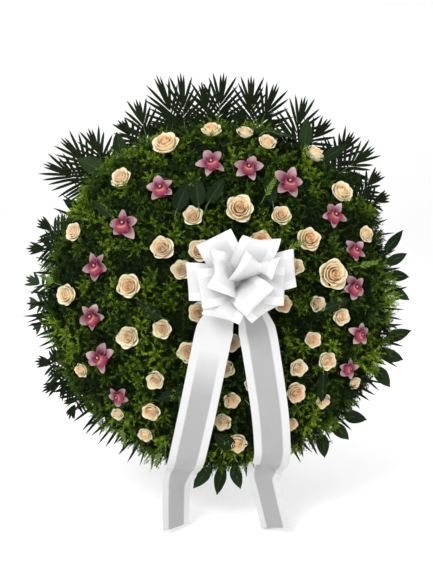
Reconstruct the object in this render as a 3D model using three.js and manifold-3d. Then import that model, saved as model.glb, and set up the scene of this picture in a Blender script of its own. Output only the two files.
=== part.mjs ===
// A full-faced funeral wreath on a low rod stand: roses, cymbidium orchids, palm fronds and broad
// leaves set in a domed mat of fern on a foam disc, with a wide white ribbon bow and two long tails.
// Millimetres, +Z up, the face towards -Y. The origin is on the floor, under the middle of the whole.
import * as THREE from "three";
import { mergeVertices } from "three/addons/utils/BufferGeometryUtils.js";
import Module from "manifold-3d";

const wasm = await Module();
wasm.setup();

// The stance of the wreath
const LEAN = THREE.MathUtils.degToRad(12); // the wreath and the stand's front legs lean back
const CENTRE_HEIGHT = 655; // the middle of the wreath above the floor
const FIT = 0.4; // clearance between pieces that touch

// The domed mat of fern and the foam disc let into its back
const DOME = { radius: 484, depth: 158, power: 2.4 };
const FOAM = { radius: 330, thickness: 55, sides: 28 };
const MAT = { rings: 21, spike: 36, jitter: 7, hummock: 9, fringe: 21.6, skirt: 3 };
const NEST = { margin: 15, depth: 4 }; // the fern is parted round a bloom and sits lower there
const PRESSED = { underTails: 14, beside: 72, front: -20, underBow: 26, round: 150 };

// Flowers: how far a bloom's middle stands off the dome, and how the front view was measured
const BLOOM_LIFT = 34;
const RIM = 0.98; // nothing is set lower down the dome's side than this share of its radius
const FRONT_VIEW = { plane: 100, eye: 2400 }; // places below are true to scale this far off the back
const STEM = { radius: 3, sides: 3, clear: 1.3, turn: 30, within: 408, above: 62 };
const ORCHID_STEM_DEPTH = 17;

// Ribbon
const RIBBON = { width: 100, thickness: 1.2 };
const TAIL_LIFT = 58; // the tails lie over the blooms, this far off the dome
const BOW_CENTRE = new THREE.Vector3(44, -226, 36);
const KNOT = new THREE.Vector3(46, 26, 32);
const PICK = { radius: 3, depth: 118 };

// The stand, of round steel rod
const ROD = 5; // radius
const ROD_SIDES = 8;
const LEG_TOP = { x: 95, z: 230 };
const LEG_FOOT_X = 138;
const TOP_BAR_Z = 212;
const PEG = { x: 78, length: 74 };
const PEG_Z = -Math.sqrt(FOAM.radius ** 2 - PEG.x ** 2) - ROD - FIT; // the foam disc rests on the pegs
const REAR_FOOT_BACK = 440; // behind the wreath's middle
const FOOT = { radius: 13, height: 24, sides: 12, floor: 5 };
const LEG_BACK = ROD + FIT; // the middle of the side legs, behind the wreath's back
const BAR_BACK = LEG_BACK + 2 * ROD + FIT; // the middle of the bars welded across them

// Each rose is [across, up, breadth] from the wreath's middle in the front view. The roses in one row
// share a branched stem.
const ROSE_CLUSTERS = [
  [[-157, 440, 72], [-286, 344, 56]],
  [[-25, 484, 56], [73, 479, 45], [137, 448, 50]],
  [[274, 414, 60], [350, 302, 64]],
  [[-78, 232, 53], [56, 252, 73]],
  [[176, 235, 50], [118, 160, 56], [255, 165, 64]],
  [[-423, 188, 50], [-442, 6, 59]],
  [[-165, 140, 62], [-59, 132, 56], [-112, 78, 53]],
  [[-260, 31, 62], [-263, -115, 59], [-165, -92, 50]],
  [[423, 182, 45], [322, 64, 80]],
  [[216, 87, 45], [182, -20, 45], [280, -20, 45]],
  [[-62, -45, 53], [-92, -157, 56], [-185, -238, 50]],
  [[347, -56, 48], [266, -123, 45], [308, -183, 52], [392, -250, 36]],
  [[34, -132, 48], [17, -207, 45], [90, -249, 40]],
  [[224, -204, 48], [218, -274, 56], [297, -300, 42], [204, -367, 40]],
  [[34, -297, 42], [8, -358, 48], [48, -420, 56]],
  [[-199, -330, 50], [-216, -400, 42], [-297, -339, 36], [-403, -213, 40]],
];

// Each orchid is [across, up, breadth, turn in degrees].
const ORCHIDS = [
  [-25, 381, 88, 20],
  [81, 367, 82, -12],
  [-168, 308, 92, 14],
  [196, 325, 94, -8],
  [-274, 207, 94, 10],
  [325, 232, 86, -38],
  [-353, 87, 88, 30],
  [384, 134, 78, -42],
  [-364, -56, 88, 48],
  [384, 28, 78, -50],
  [-342, -171, 90, 64],
  [400, -106, 70, -70],
  [-291, -283, 66, 100],
  [368, -203, 64, -84],
];

// Each palm frond is [direction in degrees from the right, reach of its tip from the wreath's middle].
// The fronds in a row grow from one root.
const PALM_ROWS = [
  [[31, 556], [38, 572]],
  [[44, 604], [51, 596]],
  [[58, 588], [67, 613]],
  [[75, 622], [82, 628]],
  [[89, 630], [95, 606]],
  [[100, 640], [106, 648]],
  [[113, 603], [120, 572]],
  [[128, 600], [135, 632], [143, 622]],
  [[157, 556], [166, 560]],
  [[199, 550], [208, 566], [219, 544]],
];
const PALM = { pairs: 5, pitch: 12, leaflet: 100, shoulder: 7, spread: [60, 24] };

// Each leaf is [direction, reach, greatest breadth]. The leaves in a row grow from one root.
const LEAF_ROWS = [
  { height: 38, leaves: [[122, 540, 42], [136, 552, 54]] },
  { height: 38, leaves: [[64, 556, 40], [50, 552, 36]] },
  { height: 34, leaves: [[20, 542, 32], [13, 534, 32], [6, 528, 34], [-1, 526, 30]] },
  { height: 34, leaves: [[-10, 540, 38], [-19, 538, 40], [-28, 534, 40]] },
  { height: 34, leaves: [[-40, 532, 40], [-48, 534, 38], [-57, 532, 38]] },
  { height: 26, leaves: [[-75, 536, 38], [-84, 538, 36], [-91, 552, 36], [-98, 538, 38]] },
];

// The sprays with small side leaves are set out like the palm fronds.
const SPRAY_ROWS = [[[174, 546], [182, 540], [190, 532]]];
const SPRAY = { pairs: 3, pitch: 20, leaflet: 42, shoulder: 8, spread: [62, 34] };

// Blades are rolled alike about their stalks, so that each passes over the next like a row of slats.
const BLADE = { root: 428, bare: 516, roll: 12, lean: 0.1, thickness: 1.6, rib: 2.2, height: 16 };

// Each loop of the bow is [direction, raise towards the viewer, length, height, lie of the ribbon's
// width], the angles in degrees.
const BOW_LOOPS = [
  [117, 18, 142, 40, 26],
  [60, 14, 136, 42, 4],
  [15, 4, 158, 36, 92],
  [178, 6, 130, 36, 96],
  [190, 36, 124, 40, 100],
  [245, 30, 118, 40, -12],
  [-43, 20, 116, 36, 28],
  [-4, 22, 134, 36, 88],
  [40, 50, 128, 44, 16],
  [-40, 48, 116, 42, 44],
  [148, 56, 124, 44, 100],
];

// A loop's line, as [along, off] shares of its length and height, out and back, and its width there.
const LOOP_LINE = [
  [0.08, 0.04], [0.42, 0.44], [0.8, 0.54], [1, 0.14], [0.84, -0.24], [0.44, -0.26], [0.08, -0.04],
];
const LOOP_WIDTHS = [18, 60, 100, 100, 100, 60, 18];

// The tails' lines on the face, as [across, up] in the front view, and then the roll under the lower
// edge and the free end, as [across, off the back, up, turn of the width in degrees].
const TAILS = {
  left: {
    start: [19, 30],
    face: [[-14, -92], [-31, -167], [-62, -317], [-86, -425], [-96, -466]],
    end: [
      [-103, 80, -487, 4], [-112, 63, -500, 14], [-120, 55, -524, 30],
      [-124, 50, -556, 42], [-126, 38, -661, 46],
    ],
  },
  right: {
    start: [69, 30],
    face: [[103, -92], [119, -179], [139, -317], [146, -405], [146, -446]],
    end: [
      [140, 86, -474, -5], [130, 66, -488, -15], [124, 56, -512, -30],
      [130, 51, -546, -36], [158, 44, -661, -36],
    ],
  },
};
const TAIL_STEPS = 2; // rings from one point of a tail's line to the next

const COLOURS = {
  fern: { color: 0x3f6b1e, roughness: 0.85, metalness: 0 },
  palm: { color: 0x1f3314, roughness: 0.6, metalness: 0 },
  leaf: { color: 0x29432a, roughness: 0.55, metalness: 0 },
  rose: { color: 0xf3d2ae, roughness: 0.65, metalness: 0 },
  orchid: { color: 0xc98fa6, roughness: 0.6, metalness: 0 },
  satin: { color: 0xf4f3f1, roughness: 0.35, metalness: 0 },
  foam: { color: 0x35502f, roughness: 0.95, metalness: 0 },
  steel: { color: 0x1c2a1e, roughness: 0.45, metalness: 0.6 },
  rubber: { color: 0x151515, roughness: 0.9, metalness: 0 },
};

const radians = THREE.MathUtils.degToRad;
const vector = (x, y, z) => new THREE.Vector3(x, y, z);

// The same random numbers on every run.
function seeded(seed) {
  let state = seed;
  return () => {
    state = (state + 0x6d2b79f5) | 0;
    let t = Math.imul(state ^ (state >>> 15), 1 | state);
    t = (t + Math.imul(t ^ (t >>> 7), 61 | t)) ^ t;
    return ((t ^ (t >>> 14)) >>> 0) / 4294967296;
  };
}

// Solids and meshes

function solidOf(geometry) {
  const bare = geometry.clone();
  bare.deleteAttribute("normal");
  bare.deleteAttribute("uv");
  const merged = mergeVertices(bare, 1e-3);
  return new wasm.Manifold(
    new wasm.Mesh({
      numProp: 3,
      vertProperties: merged.attributes.position.array,
      triVerts: new Uint32Array(merged.index.array),
    }),
  );
}

function meshOf(name, solid, finish) {
  const made = solid.getMesh();
  const geometry = new THREE.BufferGeometry()
    .setAttribute("position", new THREE.BufferAttribute(made.vertProperties, 3))
    .setIndex(new THREE.BufferAttribute(made.triVerts, 1));
  geometry.computeVertexNormals();
  const mesh = new THREE.Mesh(geometry, new THREE.MeshStandardMaterial(COLOURS[finish]));
  mesh.name = name;
  return mesh;
}

const joined = (solids) => solids.reduce((whole, next) => whole.add(next));

// A closed skin over rings of points, all with the same number, each end closed at its middle. The
// four-sided spans of the sides named in turned are split along their other diagonal.
function skin(rings, turned = []) {
  const sides = rings[0].length;
  const middle = (ring) => ring.reduce((sum, p) => sum.add(p), vector(0, 0, 0)).divideScalar(sides);
  const points = [middle(rings[0]), ...rings.flat(), middle(rings.at(-1))];
  const index = [];
  for (let k = 0; k < sides; k++) {
    const next = (k + 1) % sides;
    index.push(0, 1 + next, 1 + k);
    for (let i = 0; i + 1 < rings.length; i++) {
      const a = 1 + i * sides;
      const b = a + sides;
      if (turned.includes(k)) index.push(a + k, a + next, b + next, a + k, b + next, b + k);
      else index.push(a + k, a + next, b + k, a + next, b + next, b + k);
    }
    const last = points.length - 1 - sides;
    index.push(points.length - 1, last + k, last + next);
  }
  return new THREE.BufferGeometry().setFromPoints(points).setIndex(index);
}

// A round rod through two or more points, mitred where it bends.
function rod(points, radius, sides) {
  const steps = points.slice(1).map((p, i) => p.clone().sub(points[i]).normalize());
  const across = Math.abs(steps[0].z) > 0.9 ? vector(1, 0, 0) : vector(0, 0, 1);
  const u = across.addScaledVector(steps[0], -across.dot(steps[0])).normalize();
  const v = steps[0].clone().cross(u);
  let offsets = Array.from({ length: sides }, (_, k) => {
    const a = (2 * Math.PI * k) / sides;
    return u.clone().multiplyScalar(radius * Math.cos(a)).addScaledVector(v, radius * Math.sin(a));
  });
  const rings = points.map((centre, i) => {
    const [before, after] = [steps[Math.max(0, i - 1)], steps[Math.min(i, steps.length - 1)]];
    const mitre = before.clone().add(after).normalize();
    offsets = offsets.map((p) => p.clone().addScaledVector(before, -p.dot(mitre) / before.dot(mitre)));
    const ring = offsets.map((p) => p.clone().add(centre));
    offsets = offsets.map((p) => p.clone().addScaledVector(after, -p.dot(after)));
    return ring;
  });
  return solidOf(skin(rings));
}

// The dome, and places on it

// Height of a dome offset by lift, at a radius.
function domeHeight(r, lift = 0) {
  const share = Math.min(1, r / (DOME.radius + lift));
  return (DOME.depth + lift) * (1 - share ** DOME.power) ** (1 / DOME.power);
}

// The outward normal of that offset dome, at a radius, as [radial, outward].
function domeNormal(r, lift = 0) {
  const h = domeHeight(r, lift);
  const radial = r ** (DOME.power - 1) / (DOME.radius + lift) ** DOME.power;
  const outward = h ** (DOME.power - 1) / (DOME.depth + lift) ** DOME.power;
  const size = Math.hypot(radial, outward);
  return [radial / size, outward / size];
}

// The frame of a place in the front view, on the dome offset by lift: its point and its normal.
function placeOn(across, up, lift) {
  const seen = Math.hypot(across, up);
  let r = seen;
  for (let i = 0; i < 8; i++) {
    const nearer = 1 - (domeHeight(r, lift) - FRONT_VIEW.plane) / FRONT_VIEW.eye;
    r = Math.min(seen * nearer, (DOME.radius + lift) * RIM);
  }
  const [radial, outward] = domeNormal(r, lift);
  const cos = across / seen;
  const sin = up / seen;
  return {
    point: vector(r * cos, -domeHeight(r, lift), r * sin),
    normal: vector(radial * cos, -outward, radial * sin),
  };
}

// A bloom's seat: its foot on the dome, its normal, and the matrix that stands a bloom there.
function seatOf(across, up, turn) {
  const { point, normal } = placeOn(across, up, BLOOM_LIFT);
  const foot = point.clone().addScaledVector(normal, -BLOOM_LIFT);
  const side = vector(0, 0, 1).cross(normal).normalize();
  const top = normal.clone().cross(side);
  const matrix = new THREE.Matrix4().makeBasis(side, top, normal);
  matrix.multiply(new THREE.Matrix4().makeRotationZ(turn));
  return { foot, normal, matrix: matrix.setPosition(foot) };
}

// Distance along the dome from its middle, and the place at a share of the whole.
const PROFILE = (() => {
  const steps = 400;
  const table = [{ length: 0, r: 0, h: DOME.depth }];
  for (let i = 1; i <= steps; i++) {
    const t = (i / steps) * (Math.PI / 2);
    const r = DOME.radius * Math.sin(t) ** (2 / DOME.power);
    const h = i === steps ? 0 : DOME.depth * Math.cos(t) ** (2 / DOME.power);
    const last = table[i - 1];
    table.push({ length: last.length + Math.hypot(r - last.r, h - last.h), r, h });
  }
  return table;
})();

function profileAt(share) {
  const wanted = share * PROFILE.at(-1).length;
  const i = Math.max(1, PROFILE.findIndex((p) => p.length >= wanted));
  const [a, b] = [PROFILE[i - 1], PROFILE[i]];
  const t = (wanted - a.length) / (b.length - a.length);
  return [a.r + (b.r - a.r) * t, a.h + (b.h - a.h) * t];
}

// The fern mat

// Low waves that gather the fern in hummocks.
function hummock({ x, z }) {
  return MAT.hummock * (Math.sin(x / 31 + 1.3) * Math.sin(z / 27 + 0.4) + Math.sin(x / 17 - z / 23));
}

// How tall the fern may stand at a point: parted round blooms, and pressed down under the ribbon.
function fernRoom(p, seats, ribbonLine) {
  const within = (q, reach) => Math.hypot(p.x - q.x, p.z - q.z) < reach;
  if (seats.some((seat) => p.distanceTo(seat.foot) < seat.radius + NEST.margin)) return -NEST.depth;
  if (p.y < PRESSED.front && ribbonLine.some((q) => within(q, PRESSED.beside))) return PRESSED.underTails;
  return within(BOW_CENTRE, PRESSED.round) ? PRESSED.underBow : Infinity;
}

// The corners of a ring of the honeycomb, and whether a place of a ring is the tip of a tuft.
const CORNERS = [[1, 0], [0, 1], [-1, 1], [-1, 0], [0, -1], [1, -1]];

function isTip(k, m) {
  const side = Math.floor(m / Math.max(1, k));
  const step = m - side * k;
  const [a, b] = [CORNERS[side % 6], CORNERS[(side + 2) % 6]];
  return (k * (a[0] - a[1]) + step * (b[0] - b[1])) % 3 === 0;
}

// A place of the honeycomb: the ring k, and how far round it.
function matPoint(k, m, drift, roomAt) {
  const turn = (2 * Math.PI * m) / Math.max(1, 6 * k);
  const [cos, sin] = [Math.cos(turn), Math.sin(turn)];
  const [r, h] = profileAt(k / MAT.rings);
  const tip = isTip(k, m);
  if (k === MAT.rings) {
    const reach = r + (tip ? MAT.fringe : 0);
    return vector(reach * cos, 0, reach * sin);
  }
  const p = vector(r * cos, -h, r * sin);
  const [radial, outward] = domeNormal(r);
  const room = roomAt(p);
  const height = hummock(p) + (tip ? MAT.spike * (0.7 + 0.6 * drift[2]) : 0);
  const sway = room > 0 ? MAT.jitter * (tip ? 2 : 1) : 0;
  p.add(vector(sway * drift[0], 0, sway * drift[1]));
  p.addScaledVector(vector(radial * cos, -outward, radial * sin), Math.min(height, room));
  const inside = Math.min(1, (BLADE.bare - 8) / Math.hypot(p.x, p.z));
  return p.set(p.x * inside, Math.min(p.y, -MAT.skirt), p.z * inside);
}

// Three-sided faces between each ring of the honeycomb and the next, and across the back.
function matFaces(back) {
  const at = (k, m) => (k === 0 ? 0 : 1 + 3 * k * (k - 1) + (m % (6 * k)));
  const faces = [];
  for (let k = 1; k <= MAT.rings; k++)
    for (let side = 0; side < 6; side++)
      for (let j = 0; j < k; j++) {
        const [a, b] = [at(k, side * k + j), at(k, side * k + j + 1)];
        const c = at(k - 1, side * (k - 1) + j);
        faces.push(a, b, c);
        if (j < k - 1) faces.push(c, b, at(k - 1, side * (k - 1) + j + 1));
      }
  for (let m = 0; m < 6 * MAT.rings; m++) faces.push(at(MAT.rings, m + 1), at(MAT.rings, m), back);
  return faces;
}

// A honeycomb of points on the dome. Every third point is the tip of a tuft, ringed by six low ones.
function fernMat(seats, ribbonLine) {
  const random = seeded(7);
  const roomAt = (p) => fernRoom(p, seats, ribbonLine);
  const points = [];
  for (let k = 0; k <= MAT.rings; k++)
    for (let m = 0; m < Math.max(1, 6 * k); m++) {
      const drift = [random() - 0.5, random() - 0.5, random()];
      points.push(matPoint(k, m, drift, roomAt));
    }
  const faces = matFaces(points.length);
  points.push(vector(0, 0, 0));
  return solidOf(new THREE.BufferGeometry().setFromPoints(points).setIndex(faces));
}

// Flowers

// Each ring of a rose is [radius, height, petal swing, petal set], in head radii. Five petals show in
// each lip, and the next lip's petals stand between them.
const ROSE_RINGS = [
  [0.16, 0, 0, 0],
  [0.97, 0.84, 0.13, 0],
  [0.66, 0.78, 0.1, 1],
  [0.46, 1.16, 0.22, 1],
];
const ROSE_HEART = 0.92;
const ROSE_POINTS = 10;

function roseHead(radius) {
  const rings = ROSE_RINGS.map(([r, h, swing, set]) =>
    Array.from({ length: ROSE_POINTS }, (_, k) => {
      const out = (k + set) % 2 === 0 ? 1 : -1;
      const a = (2 * Math.PI * k) / ROSE_POINTS;
      const reach = radius * r * (1 + swing * out);
      return vector(reach * Math.cos(a), reach * Math.sin(a), radius * (h - 0.35 * swing * out));
    }),
  );
  const geometry = skin(rings);
  const p = geometry.attributes.position;
  p.setZ(p.count - 1, radius * ROSE_HEART);
  return geometry;
}

// One star of five tepals, dished, with the top one longest.
const TEPAL = { neck: 0.24, shoulder: 0.6, spread: 0.28, thickness: 1.6, dish: 0.2, base: 19 };

// How far out of the dish's plane the star lies, and the height of the middle of its thickness.
const dishAt = (out, radius) => TEPAL.dish * out * (1 - out / (1.7 * radius));
const orchidMiddle = (radius) => TEPAL.base + dishAt(TEPAL.neck * radius, radius) + TEPAL.thickness / 2;

function orchidStar(radius) {
  const outline = [];
  for (let k = 0; k < 5; k++) {
    const a = Math.PI / 2 + (2 * Math.PI * k) / 5;
    const spoke = (share, swing) => outline.push(new THREE.Vector2(
      radius * share * Math.cos(a + swing),
      radius * share * Math.sin(a + swing),
    ));
    spoke(TEPAL.neck, -Math.PI / 5);
    spoke(TEPAL.shoulder, -TEPAL.spread * 1.5);
    spoke(1, 0);
    spoke(TEPAL.shoulder, TEPAL.spread * 1.5);
  }
  const geometry = new THREE.ExtrudeGeometry(new THREE.Shape(outline), {
    depth: TEPAL.thickness,
    bevelEnabled: false,
  });
  const p = geometry.attributes.position;
  for (let i = 0; i < p.count; i++) {
    const out = Math.hypot(p.getX(i), p.getY(i));
    p.setZ(i, p.getZ(i) + TEPAL.base + dishAt(out, radius));
  }
  return solidOf(geometry);
}

// The lip is a short trumpet, flared and turned down.
function orchidLip(radius) {
  const ring = (share, height, drop) =>
    Array.from({ length: 5 }, (_, k) => {
      const a = (2 * Math.PI * k) / 5 + Math.PI / 2;
      return vector(radius * share * Math.cos(a), radius * (share * Math.sin(a) - drop), height);
    });
  const throat = ring(0.1, orchidMiddle(radius), 0);
  return solidOf(skin([throat, ring(0.2, TEPAL.base + 14, 0.12), ring(0.34, TEPAL.base + 24, 0.22)]));
}

function orchid(seat) {
  const ends = [vector(0, 0, -ORCHID_STEM_DEPTH), vector(0, 0, orchidMiddle(seat.radius))];
  const stalk = rod(ends, STEM.radius, STEM.sides);
  const bloom = joined([orchidStar(seat.radius), orchidLip(seat.radius), stalk]);
  return bloom.transform(seat.matrix.elements);
}

// Where a rose's stem turns inside the mat, clear of the foam and of the stalks at the rim.
function stemTurn(seat) {
  const p = seat.foot.clone().addScaledVector(seat.normal, -STEM.turn);
  const inside = Math.min(1, STEM.within / Math.hypot(p.x, p.z));
  return vector(p.x * inside, Math.min(p.y, -STEM.above), p.z * inside);
}

// The stems of a cluster: one rod from the first rose, under the others, to the last.
function stemsOf(seats, radius) {
  const top = (seat) => seat.foot.clone().addScaledVector(seat.normal, 2 + seat.radius * 0.2);
  const main = rod([top(seats[0]), ...seats.map(stemTurn), top(seats.at(-1))], radius, STEM.sides);
  const inner = seats.slice(1, -1);
  return joined([main, ...inner.map((seat) => rod([stemTurn(seat), top(seat)], radius, STEM.sides))]);
}

function roseCluster(seats) {
  const heads = seats.map((seat) => {
    const raised = new THREE.Matrix4().makeTranslation(0, 0, 2).premultiply(seat.matrix);
    return solidOf(roseHead(seat.radius)).transform(raised.elements);
  });
  return joined([...heads, stemsOf(seats, STEM.radius)]);
}

// Foliage

// A frond's outline, its stalk along +Y from the root, its leaflets cut to the rib. A short frond has
// fewer and shorter ones.
function frondOutline(start, tip, { pairs, pitch, leaflet, shoulder, spread }) {
  const bare = tip - start;
  const count = Math.max(2, Math.min(pairs, Math.round(bare / 30)));
  const length = Math.min(leaflet, 0.75 * bare);
  const right = [new THREE.Vector2(BLADE.rib, 0)];
  for (let i = 0; i < count; i++) {
    const y = start + pitch * i;
    const angle = radians(spread[0] + ((spread[1] - spread[0]) * i) / (count - 1));
    right.push(new THREE.Vector2(BLADE.rib, y));
    right.push(new THREE.Vector2(BLADE.rib + length * Math.sin(angle), y + length * Math.cos(angle)));
  }
  const neck = start + pitch * count;
  right.push(new THREE.Vector2(BLADE.rib, neck), new THREE.Vector2(shoulder, neck + (tip - neck) * 0.4));
  return closedOutline(right, tip);
}

// A broad leaf's outline, its stalk along +Y from the root.
function leafOutline(start, tip, breadth) {
  const shares = [[0.1, 0.34], [0.38, 0.5], [0.74, 0.32]];
  const right = [new THREE.Vector2(BLADE.rib, 0), new THREE.Vector2(BLADE.rib, start)];
  for (const [along, half] of shares)
    right.push(new THREE.Vector2(breadth * half, start + (tip - start) * along));
  return closedOutline(right, tip);
}

function closedOutline(right, tip) {
  const left = right.map((p) => new THREE.Vector2(-p.x, p.y)).reverse();
  return [...right, new THREE.Vector2(0, tip), ...left];
}

// The blades of a row: their one root, the row's middle direction and each blade's own, how far out its
// stalk is bare, and its tip. The reach of a tip is as seen in the front view.
function fanOf(row, height) {
  const mean = row.reduce((sum, [direction]) => sum + radians(direction) / row.length, 0);
  const middle = vector(Math.cos(mean), 0, Math.sin(mean));
  const root = middle.clone().multiplyScalar(BLADE.root).setY(-height);
  const further = 1 + FRONT_VIEW.plane / FRONT_VIEW.eye;
  return row.map(([direction, reach, breadth]) => {
    const a = radians(direction);
    const tip = vector(Math.cos(a), 0, Math.sin(a)).multiplyScalar(reach * further).setY(-height).sub(root);
    const along = tip.clone().normalize();
    const inward = BLADE.root * along.dot(middle);
    const start = Math.sqrt(inward ** 2 + BLADE.bare ** 2 - BLADE.root ** 2) - inward;
    return { root, middle, along, start, tip: tip.length(), breadth };
  });
}

// Stands a flat outline at the rim, rolled about its stalk, in its row's plane that leans back.
function bladeSolid(outline, { root, middle, along }, thickness, roll) {
  const options = { depth: thickness, bevelEnabled: false };
  const geometry = new THREE.ExtrudeGeometry(new THREE.Shape(outline), options);
  geometry.translate(0, 0, -thickness / 2).rotateY(radians(roll));
  const outward = vector(0, -1, 0);
  const matrix = new THREE.Matrix4().makeBasis(along.clone().cross(outward), along, outward);
  geometry.applyMatrix4(matrix.setPosition(root));
  const p = geometry.attributes.position;
  for (let i = 0; i < p.count; i++) {
    const out = (p.getX(i) - root.x) * middle.x + (p.getZ(i) - root.z) * middle.z;
    p.setY(i, p.getY(i) + BLADE.lean * out);
  }
  return solidOf(geometry);
}

function fan(blades, outlineOf) {
  return joined(blades.map((blade) => bladeSolid(outlineOf(blade), blade, BLADE.thickness, BLADE.roll)));
}

const fronds = (row, style) =>
  fan(fanOf(row, BLADE.height), (blade) => frondOutline(blade.start, blade.tip, style));

const leaves = (row) =>
  fan(fanOf(row.leaves, row.height), (blade) => leafOutline(blade.start, blade.tip, blade.breadth));

// The slot that a row's stalks take in the mat, wider towards the rim.
function stalkSlot(row, height) {
  const blades = fanOf(row, height);
  const { root, middle } = blades[0];
  const side = middle.clone().cross(vector(0, -1, 0));
  const slants = blades.map((b) => b.along.dot(side) / b.along.dot(middle));
  const half = (BLADE.rib + FIT) * Math.max(...slants.map((slant) => Math.hypot(1, slant)));
  const reach = BLADE.bare - BLADE.root;
  const outline = [
    new THREE.Vector2(-half, -half),
    new THREE.Vector2(half, -half),
    new THREE.Vector2(half + reach * Math.max(...slants), reach),
    new THREE.Vector2(-half + reach * Math.min(...slants), reach),
  ];
  const rolled = 2 * BLADE.rib * Math.sin(radians(BLADE.roll));
  return bladeSolid(outline, { root, middle, along: middle }, BLADE.thickness + rolled + 2 * FIT, 0);
}

// Ribbon

// A ribbon through rings, each with its point, its width and the way its width lies.
function strip(line) {
  const curve = new THREE.CatmullRomCurve3(line.map((p) => p.point), false, "centripetal");
  const rings = line.map(({ point, width, side }, i) => {
    const tangent = curve.getTangent(i / (line.length - 1));
    const across = side.clone().addScaledVector(tangent, -side.dot(tangent)).normalize();
    const depth = tangent.clone().cross(across).multiplyScalar(RIBBON.thickness / 2);
    return [[-1, -1], [1, -1], [1, 1], [-1, 1]].map(([w, d]) =>
      point.clone().addScaledVector(across, (w * width) / 2).addScaledVector(depth, d),
    );
  });
  return solidOf(skin(rings, [2]));
}

function bowLoop([direction, raise, length, height, lie]) {
  const [a, e, w] = [direction, raise, lie].map(radians);
  const along = vector(Math.cos(a) * Math.cos(e), -Math.sin(e), Math.sin(a) * Math.cos(e));
  const out = vector(0, -1, 0);
  out.addScaledVector(along, -out.dot(along)).normalize();
  const side = vector(Math.cos(w), 0, Math.sin(w));
  return strip(LOOP_LINE.map(([s, off], i) => ({
    point: BOW_CENTRE.clone().addScaledVector(along, s * length).addScaledVector(out, off * height),
    width: LOOP_WIDTHS[i],
    side,
  })));
}

// The wire pick that holds the bow in the mat.
const pickEnds = (spare) => [BOW_CENTRE.clone().setY(BOW_CENTRE.y + PICK.depth + spare), BOW_CENTRE];

function bow() {
  const knot = solidOf(new THREE.BoxGeometry(KNOT.x, KNOT.y, KNOT.z)).translate(BOW_CENTRE.toArray());
  const whole = joined([knot, rod(pickEnds(0), PICK.radius, STEM.sides), ...BOW_LOOPS.map(bowLoop)]);
  const skins = whole.decompose(); // a hollow shut in between two loops has a skin of its own
  return skins.reduce((outer, other) => (other.volume() > outer.volume() ? other : outer));
}

// A tail's line, from under the knot, down the face, round the lower edge and down to its free end.
function tailPoints({ start, face, end }) {
  const under = BOW_CENTRE.y + KNOT.y / 2 + FIT + RIBBON.thickness / 2;
  return [
    { point: vector(start[0], under, start[1]), turn: 0, width: 34 },
    { point: vector(start[0], under, start[1] - 24), turn: 0, width: 46 },
    ...face.map(([x, z]) => ({ point: placeOn(x, z, TAIL_LIFT).point, turn: 0, width: RIBBON.width })),
    ...end.map(([x, off, z, turn]) => ({ point: vector(x, -off, z), turn, width: RIBBON.width })),
  ];
}

function tailLine(spec) {
  const known = tailPoints(spec);
  const curve = new THREE.CatmullRomCurve3(known.map((p) => p.point), false, "centripetal");
  const count = (known.length - 1) * TAIL_STEPS;
  return Array.from({ length: count + 1 }, (_, i) => {
    const [whole, part] = [Math.min(Math.floor(i / TAIL_STEPS), known.length - 2), i / TAIL_STEPS];
    const [a, b] = [known[whole], known[whole + 1]];
    const turn = radians(THREE.MathUtils.lerp(a.turn, b.turn, part - whole));
    return {
      point: curve.getPoint(i / count),
      width: THREE.MathUtils.lerp(a.width, b.width, part - whole),
      side: vector(Math.cos(turn), Math.sin(turn), 0),
    };
  });
}

// The stand

// A point of the leaning wreath, in the upright frame.
function upright(x, y, z) {
  return vector(x, y, z).applyAxisAngle(vector(1, 0, 0), -LEAN).add(vector(0, 0, CENTRE_HEIGHT));
}

function footCap(tip, top) {
  const below = tip.clone().addScaledVector(top.clone().sub(tip).normalize(), -FIT);
  const block = rod([tip.clone().setZ(0), tip.clone().setZ(FOOT.height)], FOOT.radius, FOOT.sides);
  return block.subtract(rod([below, top], ROD + 2 * FIT, ROD_SIDES));
}

const sideLegTip = (side) => {
  const z = (FOOT.floor - CENTRE_HEIGHT + LEG_BACK * Math.sin(LEAN)) / Math.cos(LEAN);
  return upright(side * LEG_FOOT_X, LEG_BACK, z);
};

function legAndFoot(leg, foot, tip, top) {
  return [meshOf(leg, rod([tip, top], ROD, ROD_SIDES), "steel"), meshOf(foot, footCap(tip, top), "rubber")];
}

const sideLeg = (name, side) => {
  const top = upright(side * LEG_TOP.x, LEG_BACK, LEG_TOP.z);
  return legAndFoot(`stand_leg_${name}`, `stand_foot_${name}`, sideLegTip(side), top);
};

// The rear leg passes behind the top bar, to which it is welded.
function rearLeg() {
  const tip = vector(0, REAR_FOOT_BACK, FOOT.floor);
  const bar = upright(0, BAR_BACK, TOP_BAR_Z);
  const rise = bar.clone().sub(tip).normalize();
  const top = bar.addScaledVector(vector(0, rise.z, -rise.y), 2 * ROD + FIT).addScaledVector(rise, 14);
  return legAndFoot("stand_rear_leg", "stand_foot_rear", tip, top);
}

function standPieces() {
  const reach = LEG_TOP.x + 12;
  const bar = (x, z) => rod([-x, x].map((end) => upright(end, BAR_BACK, z)), ROD, ROD_SIDES);
  const pegEnds = (side) => [BAR_BACK, BAR_BACK - PEG.length].map((y) => upright(side * PEG.x, y, PEG_Z));
  const pegs = [-1, 1].map((side) => rod(pegEnds(side), ROD, ROD_SIDES));
  return [
    ...sideLeg("left", -1),
    ...sideLeg("right", 1),
    meshOf("stand_top_bar", bar(reach, TOP_BAR_Z), "steel"),
    meshOf("stand_peg_bar", joined([bar(reach + 24, PEG_Z), ...pegs]), "steel"),
    ...rearLeg(),
  ];
}

// The pegs' slots in the mat, in the wreath's own frame.
function pegSlots() {
  const ends = (side) => [2, -PEG.length].map((y) => vector(side * PEG.x, y, PEG_Z));
  return [-1, 1].map((side) => rod(ends(side), ROD + 1.2, ROD_SIDES));
}

// The whole

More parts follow.
